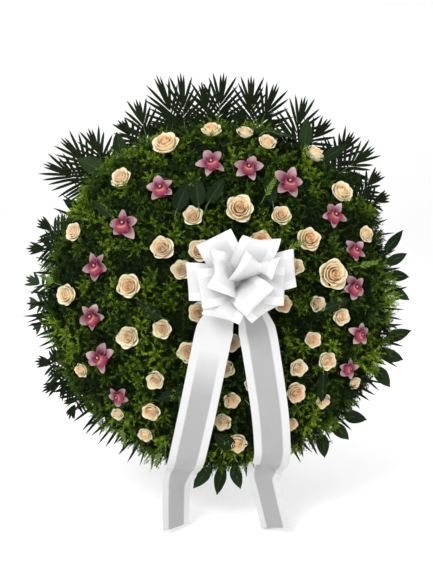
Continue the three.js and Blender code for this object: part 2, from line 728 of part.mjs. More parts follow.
const number = (i) => String(i + 1).padStart(2, "0");
const random = seeded(21);
const roseSeats = ROSE_CLUSTERS.map((cluster) =>
  cluster.map(([x, z, breadth]) => ({ ...seatOf(x, z, random() * 6.28), radius: breadth / 2 })),
);
const orchidSeats = ORCHIDS.map(([x, z, breadth, turn]) => ({
  ...seatOf(x, z, radians(turn)),
  radius: breadth / 2,
}));
const tailLines = { left: tailLine(TAILS.left), right: tailLine(TAILS.right) };
const ribbonLine = [...tailLines.left, ...tailLines.right].map((p) => p.point);

const wreath = new THREE.Group();
const disc = (radius, depth) => solidOf(new THREE.CylinderGeometry(radius, radius, depth, FOAM.sides));
const foam = disc(FOAM.radius, FOAM.thickness).translate([0, -FOAM.thickness / 2, 0]);
const pocketDepth = FOAM.thickness + FIT + 1;
const pocket = disc(FOAM.radius + FIT, pocketDepth).translate([0, 1 - pocketDepth / 2, 0]);
wreath.add(meshOf("foam_disc", foam, "foam"));

const orchidHole = (seat) => {
  const ends = [vector(0, 0, -ORCHID_STEM_DEPTH - 1), vector(0, 0, TEPAL.base)];
  return rod(ends, STEM.radius + STEM.clear, STEM.sides).transform(seat.matrix.elements);
};
const holes = [
  pocket,
  ...pegSlots(),
  ...roseSeats.map((seats) => stemsOf(seats, STEM.radius + STEM.clear)),
  ...orchidSeats.map(orchidHole),
  ...[...PALM_ROWS, ...SPRAY_ROWS].map((row) => stalkSlot(row, BLADE.height)),
  ...LEAF_ROWS.map((row) => stalkSlot(row.leaves, row.height)),
  rod(pickEnds(1), PICK.radius + STEM.clear, STEM.sides),
];
const mat = fernMat([...roseSeats.flat(), ...orchidSeats], ribbonLine);
wreath.add(meshOf("fern_mat", mat.subtract(joined(holes)), "fern"));

const addEach = (name, list, make, finish) =>
  list.forEach((item, i) => wreath.add(meshOf(`${name}_${number(i)}`, make(item), finish)));
addEach("roses", roseSeats, roseCluster, "rose");
addEach("orchid", orchidSeats, orchid, "orchid");
addEach("palm_fronds", PALM_ROWS, (row) => fronds(row, PALM), "palm");
addEach("leafy_spray", SPRAY_ROWS, (row) => fronds(row, SPRAY), "leaf");
addEach("broad_leaves", LEAF_ROWS, leaves, "leaf");
wreath.add(meshOf("ribbon_bow", bow(), "satin"));
wreath.add(meshOf("ribbon_tail_left", strip(tailLines.left), "satin"));
wreath.add(meshOf("ribbon_tail_right", strip(tailLines.right), "satin"));
wreath.rotation.x = -LEAN;
wreath.position.z = CENTRE_HEIGHT;

const whole = new THREE.Group();
whole.add(wreath, ...standPieces());
whole.updateMatrixWorld(true);
const box = new THREE.Box3().setFromObject(whole, true);
const middle = box.getCenter(vector(0, 0, 0));
whole.position.set(-middle.x, -middle.y, -box.min.z);
export default whole;
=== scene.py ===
from math import cos, hypot, pi, radians, sin, sqrt

import bpy
import numpy as np
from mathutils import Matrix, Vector, noise


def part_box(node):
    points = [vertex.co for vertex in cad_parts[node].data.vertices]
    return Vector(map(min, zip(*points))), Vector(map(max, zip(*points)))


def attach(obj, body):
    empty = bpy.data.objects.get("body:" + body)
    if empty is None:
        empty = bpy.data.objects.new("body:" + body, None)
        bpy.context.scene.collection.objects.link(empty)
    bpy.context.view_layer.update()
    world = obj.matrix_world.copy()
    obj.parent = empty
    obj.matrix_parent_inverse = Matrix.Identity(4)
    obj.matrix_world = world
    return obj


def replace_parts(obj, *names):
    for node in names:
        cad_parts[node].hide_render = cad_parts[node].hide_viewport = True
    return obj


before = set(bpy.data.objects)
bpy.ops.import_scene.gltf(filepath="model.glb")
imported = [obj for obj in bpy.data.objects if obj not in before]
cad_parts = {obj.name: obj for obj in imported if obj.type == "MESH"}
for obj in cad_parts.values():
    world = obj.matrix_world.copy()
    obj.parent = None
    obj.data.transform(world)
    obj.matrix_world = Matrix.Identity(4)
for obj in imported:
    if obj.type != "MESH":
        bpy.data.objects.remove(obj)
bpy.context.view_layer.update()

# Lengths are in millimetres, in the wreath's own frame: the origin in the middle of its back, +Z up
# its face and the face towards -Y. It leans back on its stand.
LEAN = radians(12)
CENTRE_HEIGHT = 655
REAR_FOOT_BACK = 440  # the rear foot stands this far behind the wreath's middle
FIT = 0.4  # the gap between parts that touch

DOME = {"radius": 484, "depth": 158, "power": 2.4}
FOAM = {"radius": 330, "thickness": 55, "gap": 1.5}
RIM = 0.98  # blooms keep within this share of the dome's radius
BLOOM_LIFT = 34  # the height above the dome at which a bloom's place is read

# How the photograph was read: places are true to scale on a plane in front of the back
FRONT_VIEW = {"plane": 100, "eye": 2400, "pixel": 2.8, "centre": (220, 297)}
PHOTO = (433, 577)

# Each rose is [across, up, breadth] in the front view, and a row is one branched stem.
ROSE_CLUSTERS = [
    [[-157, 440, 72], [-286, 344, 56]],
    [[-25, 484, 56], [73, 479, 45], [137, 448, 50]],
    [[274, 414, 60], [350, 302, 64]],
    [[-78, 232, 53], [56, 252, 73]],
    [[176, 235, 50], [118, 160, 56], [255, 165, 64]],
    [[-423, 188, 50], [-442, 6, 59]],
    [[-165, 140, 62], [-59, 132, 56], [-112, 78, 53]],
    [[-260, 31, 62], [-263, -115, 59], [-165, -92, 50]],
    [[423, 182, 45], [322, 64, 80]],
    [[216, 87, 45], [182, -20, 45], [280, -20, 45]],
    [[-62, -45, 53], [-92, -157, 56], [-185, -238, 50]],
    [[347, -56, 48], [266, -123, 45], [308, -183, 52], [392, -250, 36]],
    [[34, -132, 48], [17, -207, 45], [90, -249, 40]],
    [[224, -204, 48], [218, -274, 56], [297, -300, 42], [204, -367, 40]],
    [[34, -297, 42], [8, -358, 48], [48, -420, 56]],
    [[-199, -330, 50], [-216, -400, 42], [-297, -339, 36], [-403, -213, 40]],
]

# Each whorl of a rose: petals, mouth radius and height in head radii, half width in degrees, and curl.
ROSE_WHORLS = [
    {"petals": 5, "mouth": 0.9, "height": 0.7, "half": 43, "curl": 0.52},
    {"petals": 5, "mouth": 0.72, "height": 0.9, "half": 46, "curl": 0.36},
    {"petals": 4, "mouth": 0.52, "height": 1.02, "half": 56, "curl": 0.2},
    {"petals": 3, "mouth": 0.34, "height": 1.1, "half": 72, "curl": 0.1},
]
PETAL_THICKNESS = 0.9
# How far a petal may differ: its mouth, its height and where its point is.
PETAL_SLACK = [(0.9, 1.08), (0.92, 1.06), (-0.4, 0.4)]

# Each orchid is [across, up, breadth, turn in degrees].
ORCHIDS = [
    [-25, 381, 88, 20],
    [81, 367, 82, -12],
    [-168, 308, 92, 14],
    [196, 325, 94, -8],
    [-274, 207, 94, 10],
    [325, 232, 86, -38],
    [-353, 87, 88, 30],
    [384, 134, 78, -42],
    [-364, -56, 88, 48],
    [384, 28, 78, -50],
    [-342, -171, 90, 64],
    [400, -106, 70, -70],
    [-291, -283, 66, 100],
    [368, -203, 64, -84],
]
TEPAL = {"base": 19, "dish": 0.2, "half": 0.31, "thickness": 1.2}
# How far a tepal may differ: its wave, its twist and its bend.
TEPAL_SLACK = [(-1.4, 1.4), (-0.9, 0.9), (-0.36, 0.4)]

# Each palm frond is [direction in degrees from the right, reach of its tip].
PALM_ROWS = [
    [[31, 556], [38, 572]],
    [[44, 604], [51, 596]],
    [[58, 588], [67, 613]],
    [[75, 622], [82, 628]],
    [[89, 630], [95, 606]],
    [[100, 640], [106, 648]],
    [[113, 603], [120, 572]],
    [[128, 600], [135, 632], [143, 622]],
    [[157, 556], [166, 560]],
    [[199, 550], [208, 566], [219, 544]],
]
# A frond's pairs of leaflets, the distance between pairs, the longest leaflet, its lean from the stalk in
# degrees at the frond's foot and tip, its half breadth and how slender its ends are, and the pairs that
# stand further in.
PALM = {
    "pairs": 5, "pitch": 12, "leaflet": 100, "spread": (52, 20), "half": 4.4, "point": 0.75, "inner": 6,
}
SPRAY_ROWS = [[[174, 546], [182, 540], [190, 532]]]
SPRAY = {
    "pairs": 3, "pitch": 13, "leaflet": 42, "spread": (62, 34), "half": 4.6, "point": 0.6, "inner": 5,
}

# Each leaf at the rim is [direction, reach, greatest breadth].
LEAF_ROWS = [
    {"height": 38, "leaves": [[122, 540, 42], [136, 552, 54]]},
    {"height": 38, "leaves": [[64, 556, 40], [50, 552, 36]]},
    {"height": 34, "leaves": [[20, 542, 32], [13, 534, 32], [6, 528, 34], [-1, 526, 30]]},
    {"height": 34, "leaves": [[-10, 540, 38], [-19, 538, 40], [-28, 534, 40]]},
    {"height": 34, "leaves": [[-40, 532, 40], [-48, 534, 38], [-57, 532, 38]]},
    {"height": 26, "leaves": [[-75, 536, 38], [-84, 538, 36], [-91, 552, 36], [-98, 538, 38]]},
]
# The leaves that fill the gaps behind the fronds are given in the same way.
FILLING_LEAVES = [
    [74, 526, 54], [83, 530, 60], [93, 530, 58], [103, 532, 60], [112, 526, 52], [42, 520, 50],
    [31, 516, 44], [129, 522, 46], [148, 518, 44], [-160, 516, 40],
]
LEAF_SHARES = [(0, 0.07), (0.1, 0.34), (0.38, 0.5), (0.74, 0.32), (0.94, 0.08), (1, 0.02)]
# A blade at the rim roots at one radius in the mat, and its stalk is bare up to another.
BLADE = {"root": 428, "bare": 516, "roll": 12, "lean": 0.1, "thickness": 1.2, "rib": 1.8, "height": 16}

# Each leaf on the face is [across, up, direction, length, breadth].
FACE_LEAVES = [
    [-104, 286, 70, 96, 44], [-64, 300, 96, 92, 46], [-10, 300, 60, 84, 40], [180, 462, 36, 110, 44],
    [-134, -274, 200, 86, 42], [-200, -36, 150, 84, 38], [288, -256, -88, 92, 34],
    [10, -402, 140, 70, 46], [-140, -400, 236, 92, 20], [-330, 250, 140, 80, 34],
    [120, -330, -40, 84, 38], [330, -20, 20, 78, 34], [-60, -260, 240, 80, 36],
    [140, 300, 100, 80, 34],
]

# Each bright sprig on the face is [across, up, direction].
FACE_SPRIGS = [
    [190, 132, 30], [128, 286, 60], [-272, -372, 262], [392, 88, 12], [-466, 40, 160], [-168, -436, 250],
]
FACE_LIFT = {"leaf": 24, "sprig": 34}

# Each clump of slender blades at the rim is [direction, reach of its longest blade, blades].
RIM_BLADES = [
    [27, 530, 4], [9, 520, 3], [-4, 528, 5], [-15, 536, 5], [-24, 524, 4], [-35, 530, 5], [-46, 536, 5],
    [-56, 526, 4], [-66, 520, 4], [-79, 524, 4], [-95, 526, 4], [-108, 524, 4], [-119, 532, 5],
    [-129, 540, 6], [-138, 548, 6], [-148, 546, 5], [-165, 536, 4], [-171, 548, 5], [-175, 556, 5],
    [180, 548, 4], [170, 530, 4], [149, 540, 4],
]

RIBBON = {"width": 100, "thickness": 1.0}
TAIL_LIFT = 58
BOW_CENTRE = np.array([44, -226, 36.0])
KNOT = (46, 26, 32)
PICK = {"radius": 3, "depth": 118}

# Each loop is [direction, raise towards the viewer, length, height, lie of the ribbon's width].
BOW_LOOPS = [
    [117, 18, 142, 40, 26],
    [60, 14, 136, 42, 4],
    [15, 4, 158, 36, 92],
    [178, 6, 130, 36, 96],
    [190, 36, 124, 40, 100],
    [245, 30, 118, 40, -12],
    [-43, 20, 116, 36, 28],
    [-4, 22, 134, 36, 88],
    [40, 50, 128, 44, 16],
    [-40, 48, 116, 42, 44],
    [148, 56, 124, 44, 100],
]
LOOP_LINE = [
    (0.08, 0.04), (0.42, 0.44), (0.8, 0.54), (1, 0.14), (0.84, -0.24), (0.44, -0.26), (0.08, -0.04),
]
LOOP_WIDTHS = [56, 94, 100, 100, 100, 94, 56]
LOOP_POINTS = 43
LOOP_COLUMNS = 13
TAIL_COLUMNS = 17
KNOT_RINGS = 9
KNOT_SIDES = 24

# The tails on the face as [across, up] in the front view, and round the lower edge to their free
# ends as [across, off the back, up, turn of the width].
TAILS = {
    "left": {
        "start": (19, 30),
        "face": [(-14, -92), (-31, -167), (-62, -317), (-86, -425), (-96, -466)],
        "end": [
            (-103, 80, -487, 4), (-112, 63, -500, 14), (-120, 55, -524, 30),
            (-124, 50, -556, 42), (-126, 38, -661, 46),
        ],
        "grey": 0.3,
    },
    "right": {
        "start": (69, 30),
        "face": [(103, -92), (119, -179), (139, -317), (146, -405), (146, -446)],
        "end": [
            (140, 86, -474, -5), (130, 66, -488, -15), (124, 56, -512, -30),
            (130, 51, -546, -36), (158, 44, -661, -36),
        ],
        "grey": 0.1,
    },
}

ROD = 5
LEG_TOP = (95, 230)
LEG_FOOT = 138
TOP_BAR = 212
PEG = {"x": 78, "length": 74}
# How far the bars reach past the legs, and the rear leg past the top bar.
PAST = {"top_bar": 12, "peg_bar": 36, "rear_leg": 14}
FOOT = {"radius": 13, "height": 24, "floor": 5}

# Plumes stand in rings over the dome, and a fringe of them lies out at the rim. They start sunk below
# the dome, and are lower under what lies on the fern.
FERN = {
    "rings": 21,
    "fringe": 280,
    "tallest": 60,
    "sunk": 14,
    "needle": 12.5,
    "girth": 1.0,
    "under_rose": 3,
    "under_orchid": 9,
    "under_tail": 30,
    "under_bow": 24,
}
# A plume's branchlets, and the needles on each.
PLUMES = {"tall": (7, 27), "low": (3, 14), "fringe": (5, 20)}
BACK_NEEDLES = {"count": 4200, "reach": 468, "girth": 0.9}

# Each light is its place and the point that it faces, in metres, its size and its power.
LIGHTS = {
    "key": ((-1.5, -2.6, 3.0), (0, 0, 0.65), 1.4, 70),
    "fill": ((2.4, -2.2, 1.6), (0, 0, 0.6), 1.8, 18),
    "rim": ((0.5, 2.4, 2.6), (0, 0, 0.7), 1.6, 30),
}
SKY = 0.85

# The middle of the wreath across the floor, from where the solid of the rear foot stands
foot_low, foot_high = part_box("stand_foot_rear")
STANDS_AT = (500 * (foot_low.x + foot_high.x), 500 * (foot_low.y + foot_high.y) - REAR_FOOT_BACK)

random = np.random.RandomState(11)
vary = random.uniform


def leaning(x, y, z):
    """Points of the leaning wreath, in the upright frame of its stand."""
    back = y * cos(LEAN) + z * sin(LEAN)
    return np.stack([x, back, z * cos(LEAN) - y * sin(LEAN) + CENTRE_HEIGHT], -1)


def upright_place(points):
    """Points of the upright frame, as points of the row frame in metres."""
    return (np.asarray(points, float) + [*STANDS_AT, 0]) / 1000


def leaning_place(points):
    """Points of the leaning wreath, as points of the row frame in metres."""
    return upright_place(leaning(*np.moveaxis(np.asarray(points, float), -1, 0)))


def unit(vectors):
    size = np.linalg.norm(vectors, axis=-1, keepdims=True)
    return vectors / np.maximum(size, 1e-9)


def spoke(angle):
    """The direction in the back's plane at an angle from the right."""
    return np.stack([np.cos(angle), 0 * angle, np.sin(angle)], -1)


def full_turn(count):
    """Evenly spread angles all round."""
    return np.linspace(0, 2 * pi, count, endpoint=False)


def blade_grid(rows, columns):
    """Over a grid, how far each point is along it, from 0 to 1, and across it, from -1 to 1."""
    return np.meshgrid(np.linspace(0, 1, rows), np.linspace(-1, 1, columns), indexing="ij")


# Places on the dome

def dome_height(r, lift=0):
    share = np.minimum(1, r / (DOME["radius"] + lift))
    return (DOME["depth"] + lift) * (1 - share ** DOME["power"]) ** (1 / DOME["power"])


def dome_normal(across, up, lift=0):
    """The outward normal of the dome, offset by lift, at a place given in the back's plane."""
    r = np.maximum(np.hypot(across, up), 1e-6)
    p = DOME["power"]
    radial = r ** (p - 1) / (DOME["radius"] + lift) ** p
    outward = np.maximum(dome_height(r, lift), 1e-6) ** (p - 1) / (DOME["depth"] + lift) ** p
    return unit(np.stack([radial * across / r, -outward, radial * up / r], -1))


def place_on(across, up, lift):
    """The point of the lifted dome that is seen at a place of the front view, and its normal."""
    seen = hypot(across, up)
    r = seen
    for _ in range(8):
        nearer = 1 - (dome_height(r, lift) - FRONT_VIEW["plane"]) / FRONT_VIEW["eye"]
        r = min(seen * nearer, (DOME["radius"] + lift) * RIM)
    x, z = r * across / seen, r * up / seen
    return np.array([x, -dome_height(r, lift), z]), dome_normal(x, z, lift)


def seat_of(across, up, turn):
    """A bloom's foot and its axes: two across, turned about the third, which is the dome's normal."""
    point, normal = place_on(across, up, BLOOM_LIFT)
    side = unit(np.cross([0, 0, 1], normal))
    top = np.cross(normal, side)
    c, s = cos(turn), sin(turn)
    return point - BLOOM_LIFT * normal, np.array([side * c + top * s, top * c - side * s, normal])


# Shapes

class Shape:
    """Points, faces with their finish, and each point's grain: its tone, and how far it lies along and
    across its part."""

    def __init__(self):
        self.points, self.grain, self.faces, self.finishes, self.count = [], [], [], [], 0

    def add(self, points, face_sets, grain, finish=0):
        points = np.reshape(points, (-1, 3))
        self.points.append(points)
        self.grain.append(np.broadcast_to(grain, points.shape))
        for faces in face_sets:
            self.faces.extend((np.asarray(faces) + self.count).tolist())
            self.finishes.extend([finish] * len(faces))
        self.count += len(points)

    def add_sheet(self, grid, thickness, tone, finish=0):
        """A closed thin sheet about a grid of points, whose rows run along it."""
        rows, columns = grid.shape[:2]
        normal = unit(np.cross(np.gradient(grid, axis=0), np.gradient(grid, axis=1)))
        half = np.reshape(thickness, (-1, 1, 1)) / 2
        points = np.stack([grid + normal * half, grid - normal * half])
        index = np.arange(rows * columns).reshape(rows, columns)
        front = np.stack([index[:-1, :-1], index[1:, :-1], index[1:, 1:], index[:-1, 1:]], -1).reshape(-1, 4)
        edge = np.concatenate([index[:, 0], index[-1, 1:], index[-2::-1, -1], index[0, -2:0:-1]])
        following = np.roll(edge, -1)
        rim = np.stack([following, edge, edge + rows * columns, following + rows * columns], -1)
        along, across = np.meshgrid(np.linspace(0, 1, rows), np.linspace(0, 1, columns), indexing="ij")
        grain = np.stack([np.broadcast_to(tone, along.shape), along, across], -1).reshape(-1, 3)
        self.add(points, [front, front[:, ::-1] + rows * columns, rim], np.tile(grain, (2, 1)), finish)

    def add_tube(self, line, radii, sides, tone, finish=0):
        """A closed tube round a line of points."""
        line = np.asarray(line, float)
        radii = np.broadcast_to(radii, len(line))
        tangents = unit(np.gradient(line, axis=0))
        across = np.array([1.0, 0, 0]) if abs(tangents[0][2]) > 0.9 else np.array([0, 0, 1.0])
        rings = []
        for point, tangent, radius in zip(line, tangents, radii):
            across = unit(across - tangent * (across @ tangent))
            turned = np.cross(tangent, across)
            angle = full_turn(sides)[:, None]
            rings.append(point + radius * (np.cos(angle) * across + np.sin(angle) * turned))
        share = np.repeat(np.linspace(0, 1, len(line)), sides)
        grain = np.stack([np.full(len(share), tone), share, np.tile(np.arange(sides) / sides, len(line))], -1)
        self.add(np.array(rings), ring_faces(len(line), sides), grain, finish)

    def add_needles(self, roots, tips, width, tones, heights):
        """Slender three-sided needles, each with its tone and how high it stands in its plume, which sets its
        painted shade.
        """
        along = unit(tips - roots)
        across = unit(np.cross(along, random.normal(size=along.shape)))
        turned = np.cross(along, across)
        corners = [
            roots + width * (cos(a) * across + sin(a) * turned)
            for a in (0, 2 * pi / 3, 4 * pi / 3)
        ]
        points = np.stack([*corners, tips], 1)
        first = 4 * np.arange(len(roots))[:, None]
        faces = np.concatenate([first + f for f in ([0, 2, 1], [0, 1, 3], [1, 2, 3], [2, 0, 3])])
        shape = (len(roots), 4)
        tones = np.broadcast_to(tones[:, None], shape)
        heights = np.broadcast_to(heights[:, None], shape)
        # 0 at a needle's root and 1 at its tip, for the painted shade at the root
        shares = np.broadcast_to([0, 0, 0, 1.0], shape)
        self.add(points, [faces], np.stack([tones, heights, shares], -1).reshape(-1, 3))


def ring_faces(rings, sides):
    """The faces of a tube: the walls between its rings, and its two ends."""
    index = np.arange(rings * sides).reshape(rings, sides)
    after = np.roll(index, -1, axis=1)
    walls = np.stack([index[:-1], after[:-1], after[1:], index[1:]], -1).reshape(-1, 4)
    return walls, index[:1, ::-1], index[-1:]


def curve_through(points, count):
    """A smooth line of count points through the given points."""
    points = np.asarray(points, float)
    places = np.linspace(0, len(points) - 1, count)
    padded = np.concatenate([2 * points[:1] - points[1:2], points, 2 * points[-1:] - points[-2:-1]])
    k = np.minimum(places.astype(int), len(points) - 2)
    t = (places - k)[:, None]
    a, b, c, d = (padded[k + i] for i in range(4))
    square, cube = 2 * a - 5 * b + 4 * c - d, 3 * b - a - 3 * c + d
    return 0.5 * (2 * b + (c - a) * t + square * t ** 2 + cube * t ** 3)


def put_in_scene(name, data):
    made = bpy.data.objects.new(name, data)
    bpy.context.scene.collection.objects.link(made)
    return made


def piece(name, shape, finishes, nodes, place=leaning_place, crease=50):
    """Makes a piece of a shape, with its finishes, in place of CAD nodes."""
    mesh = bpy.data.meshes.new(name)
    mesh.from_pydata(place(np.concatenate(shape.points)).tolist(), [], shape.faces)
    grain = np.concatenate(shape.grain).astype(np.float32)
    mesh.attributes.new("grain", "FLOAT_VECTOR", "POINT").data.foreach_set("vector", grain.ravel())
    for finish in finishes:
        mesh.materials.append(finish)
    mesh.polygons.foreach_set("material_index", shape.finishes)
    mesh.shade_smooth()
    mesh.set_sharp_from_angle(angle=radians(crease))
    made = put_in_scene(name, mesh)
    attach(made, "root")
    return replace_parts(made, *nodes)


# Materials

class Finish:
    """A material in the making, with short ways to add its nodes."""

    def __init__(self, name, **sockets):
        self.material = bpy.data.materials.new(name)
        self.material.use_nodes = True
        self.tree = self.material.node_tree
        self.shader = self.tree.nodes["Principled BSDF"]
        for socket, value in sockets.items():
            self.shader.inputs[socket.replace("_", " ")].default_value = value
        grain = self.node("ShaderNodeAttribute", attribute_name="grain")
        split = self.node("ShaderNodeSeparateXYZ", {0: grain.outputs["Vector"]})
        self.tone, self.along, self.across = split.outputs
        self.position = self.node("ShaderNodeTexCoord").outputs["Object"]

    def node(self, kind, inputs=None, **settings):
        made = self.tree.nodes.new(kind)
        for setting, value in settings.items():
            setattr(made, setting, value)
        for socket, value in (inputs or {}).items():
            self.feed(made.inputs[socket], value)
        return made

    def feed(self, socket, value):
        if isinstance(value, bpy.types.NodeSocket):
            self.tree.links.new(value, socket)
        else:
            socket.default_value = value

    def math(self, operation, a, b=0.0):
        return self.node("ShaderNodeMath", {0: a, 1: b}, operation=operation).outputs[0]

    def times(self, a, b):
        return self.math("MULTIPLY", a, b)

    def plus(self, a, b):
        return self.math("ADD", a, b)

    def wave(self, value, scale):
        return self.math("SINE", self.times(value, scale))

    def off_middle(self):
        """How far a place is from its part's middle line, from 0 to 0.5."""
        return self.math("ABSOLUTE", self.math("SUBTRACT", self.across, 0.5))

    def ramp(self, factor, *stops):
        made = self.node("ShaderNodeValToRGB", {0: factor})
        elements = made.color_ramp.elements
        while len(elements) < len(stops):
            elements.new(0.5)
        for element, (position, colour) in zip(elements, stops):
            element.position = position
            element.color = (*colour, 1) if len(colour) == 3 else colour
        return made.outputs[0]

    def mix(self, factor, a, b, mode="MIX"):
        made = self.node("ShaderNodeMix", {0: factor, 6: a, 7: b}, data_type="RGBA", blend_type=mode)
        return made.outputs[2]

    def tint(self, a, b, share=1):
        return self.mix(share, a, b, "MULTIPLY")

    def noise(self, scale, detail=3):
        inputs = {"Vector": self.position, "Scale": scale, "Detail": detail, "Roughness": 0.6}
        return self.node("ShaderNodeTexNoise", inputs).outputs["Fac"]

    def cells(self, scale):
        inputs = {"Vector": self.position, "Scale": scale}
        return self.node("ShaderNodeTexVoronoi", inputs).outputs["Distance"]

    def slope(self, value, start, end, low=0.0, high=1.0):
        """From low to high, while the value goes from start to end."""
        inputs = {0: value, 1: start, 2: end, 3: low, 4: high}
        return self.node("ShaderNodeMapRange", inputs).outputs[0]

    def band(self, value, low, high):
        """1 where value is between low and high, with soft edges."""
        soft = 0.02
        rise = self.slope(value, low - soft, low + soft)
        fall = self.slope(value, high - soft, high + soft, 1.0, 0.0)
        return self.times(rise, fall)

    def colour(self, socket):
        self.feed(self.shader.inputs["Base Color"], socket)

    def bump(self, height, strength, distance):
        inputs = {"Strength": strength, "Distance": distance, "Height": height}
        self.feed(self.shader.inputs["Normal"], self.node("ShaderNodeBump", inputs).outputs[0])


def grey(value):
    return (value, value, value, 1)


def fern_finish():
    """Needles: each has its tone, with painted shade that darkens them towards the plume's foot and their own
    foot, and a painted highlight at the plume's top.
    """
    made = Finish("fern", Roughness=0.6, Specular_IOR_Level=0.12)
    tone = made.ramp(
        made.tone,
        (0, (0.028, 0.060, 0.010)),
        (0.35, (0.072, 0.145, 0.016)),
        (0.65, (0.150, 0.278, 0.022)),
        (1, (0.33, 0.53, 0.034)),
    )
    # Painted shade and highlight: darker low in the plume, where shade falls between plumes, and brighter
    # than the needle's own colour at the plume's top
    depth = made.ramp(made.along, (0.05, (0.22, 0.25, 0.22)), (0.5, (0.7, 0.72, 0.7)), (0.9, (1.2, 1.14, 1)))
    # Painted shade at each needle's root
    foot = made.ramp(made.across, (0, (0.6, 0.62, 0.6)), (0.8, (1, 1, 1)))
    fleck = made.ramp(made.noise(150), (0.3, (0.78, 0.8, 0.76)), (0.7, (1.12, 1.1, 1)))
    made.colour(made.tint(made.tint(made.tint(tone, depth), foot), fleck))
    made.bump(made.noise(900), 0.3, 0.0005)
    return made.material


def mottled_finish(name, mottle, dark, light, relief, strength, depth, **sockets):
    """A material that is mottled between two colours. The mottle and the relief are each the scale of
    a noise and its detail."""
    made = Finish(name, **sockets)
    made.colour(made.ramp(made.noise(*mottle), dark, light))
    made.bump(made.noise(*relief), strength, depth)
    return made.material


def leaf_finish(name, dark, light, ribs, roughness):
    """A leaf with a pale midrib and side veins that run out from it."""
    made = Finish(name, Roughness=roughness, Specular_IOR_Level=0.06)
    off = made.off_middle()
    slant = made.math("SUBTRACT", made.times(made.along, ribs), made.times(off, 9.0))
    vein = made.math("POWER", made.math("ABSOLUTE", made.math("SINE", slant)), 8.0)
    midrib = made.ramp(off, (0.02, (1, 1, 1)), (0.07, (0, 0, 0)))
    relief = made.math("MAXIMUM", made.times(vein, 0.35), midrib)
    mottle = made.plus(made.times(made.tone, 0.6), made.times(made.noise(45), 0.5))
    body = made.ramp(mottle, (0.2, dark), (0.8, light))
    pale = tuple(1.9 * c + 0.004 for c in light)
    made.colour(made.mix(made.times(relief, 0.45), body, (*pale, 1)))
    made.bump(relief, 0.5, 0.0008)
    return made.material


def rose_finish():
    """Petals: cream outside and peach at the heart, paler at the lip and darker, more orange down in the cup,
    which is painted shade.
    """
    glow = {"Subsurface_Weight": 0.5, "Subsurface_Scale": 0.005, "Subsurface_Radius": (1, 0.8, 0.6)}
    made = Finish("rose_petal", Roughness=0.55, Specular_IOR_Level=0.25, **glow)
    petal = made.ramp(
        made.tone,
        (0, (1, 0.61, 0.35)),
        (0.3, (1, 0.74, 0.47)),
        (0.6, (1, 0.86, 0.60)),
        (1, (1, 0.92, 0.67)),
    )
    # Painted shade: darker and more orange down in the cup, full colour at the lip
    deep = made.ramp(made.along, (0.2, (1, 0.78, 0.57)), (0.8, (1, 0.97, 0.93)), (1, (1, 1, 1)))
    veined = made.plus(made.times(made.wave(made.across, 60.0), 0.5), made.noise(120, 4))
    streaks = made.ramp(veined, (0.1, (0.95, 0.92, 0.89)), (0.9, (1, 1, 1)))
    made.colour(made.tint(made.tint(petal, deep), streaks))
    made.bump(veined, 0.12, 0.0006)
    return made.material


ORCHID_GLOW = {"Specular_IOR_Level": 0.3, "Subsurface_Weight": 0.15, "Subsurface_Scale": 0.006}


def tepal_finish():
    """Tepals: wine red at the foot, dusty mauve, greenish cream at the tip, and paler along the edge."""
    made = Finish("orchid_tepal", Roughness=0.5, **ORCHID_GLOW)
    body = made.ramp(
        made.along,
        (0.1, (0.09, 0.006, 0.022)),
        (0.34, (0.20, 0.04, 0.085)),
        (0.56, (0.37, 0.18, 0.23)),
        (0.8, (0.50, 0.35, 0.38)),
        (1, (0.54, 0.51, 0.42)),
    )
    edge = made.ramp(made.off_middle(), (0.36, (0, 0, 0)), (0.5, (1, 1, 1)))
    rimmed = made.mix(made.times(edge, 0.4), body, (0.60, 0.48, 0.46, 1))
    line = made.math("ABSOLUTE", made.wave(made.across, 28.0))
    veins = made.ramp(line, (0, (0.66, 0.46, 0.52)), (0.5, (1, 1, 1)))
    mottle = made.ramp(made.noise(110, 5), (0.3, (0.80, 0.74, 0.76)), (0.7, (1.08, 1.05, 1.05)))
    shade = made.ramp(made.tone, (0.3, (0.74, 0.68, 0.70)), (0.7, (1.14, 1.12, 1.10)))
    made.colour(made.tint(made.tint(made.tint(rimmed, veins, 0.6), shade), mottle))
    made.bump(line, 0.2, 0.0006)
    return made.material


def lip_finish():
    """The lip: a dark throat, an ochre callus, and a spotted crimson lobe that darkens to its end."""
    made = Finish("orchid_lip", Roughness=0.45, **ORCHID_GLOW)
    body = made.ramp(
        made.along,
        (0, (0.09, 0.010, 0.015)),
        (0.24, (0.22, 0.03, 0.05)),
        (0.42, (0.36, 0.09, 0.07)),
        (0.49, (0.58, 0.29, 0.14)),
        (0.57, (0.31, 0.05, 0.10)),
        (1, (0.15, 0.010, 0.04)),
    )
    edge = made.ramp(made.off_middle(), (0.22, (0, 0, 0)), (0.44, (1, 1, 1)))
    rimmed = made.mix(made.times(edge, 0.85), body, (0.26, 0.02, 0.07, 1))
    spots = made.ramp(made.cells(420.0), (0.25, (0.6, 0.3, 0.4)), (0.45, (1, 1, 1)))
    made.colour(made.tint(rimmed, spots, 0.6))
    made.bump(made.noise(320), 0.3, 0.0008)
    return made.material


def column_finish():
    made = Finish("orchid_column", Roughness=0.4)
    foot, middle, tip = (0.28, 0.04, 0.10), (0.40, 0.12, 0.19), (0.62, 0.40, 0.38)
    made.colour(made.ramp(made.along, (0, foot), (0.6, middle), (0.9, tip)))
    made.bump(made.noise(500), 0.2, 0.0004)
    return made.material


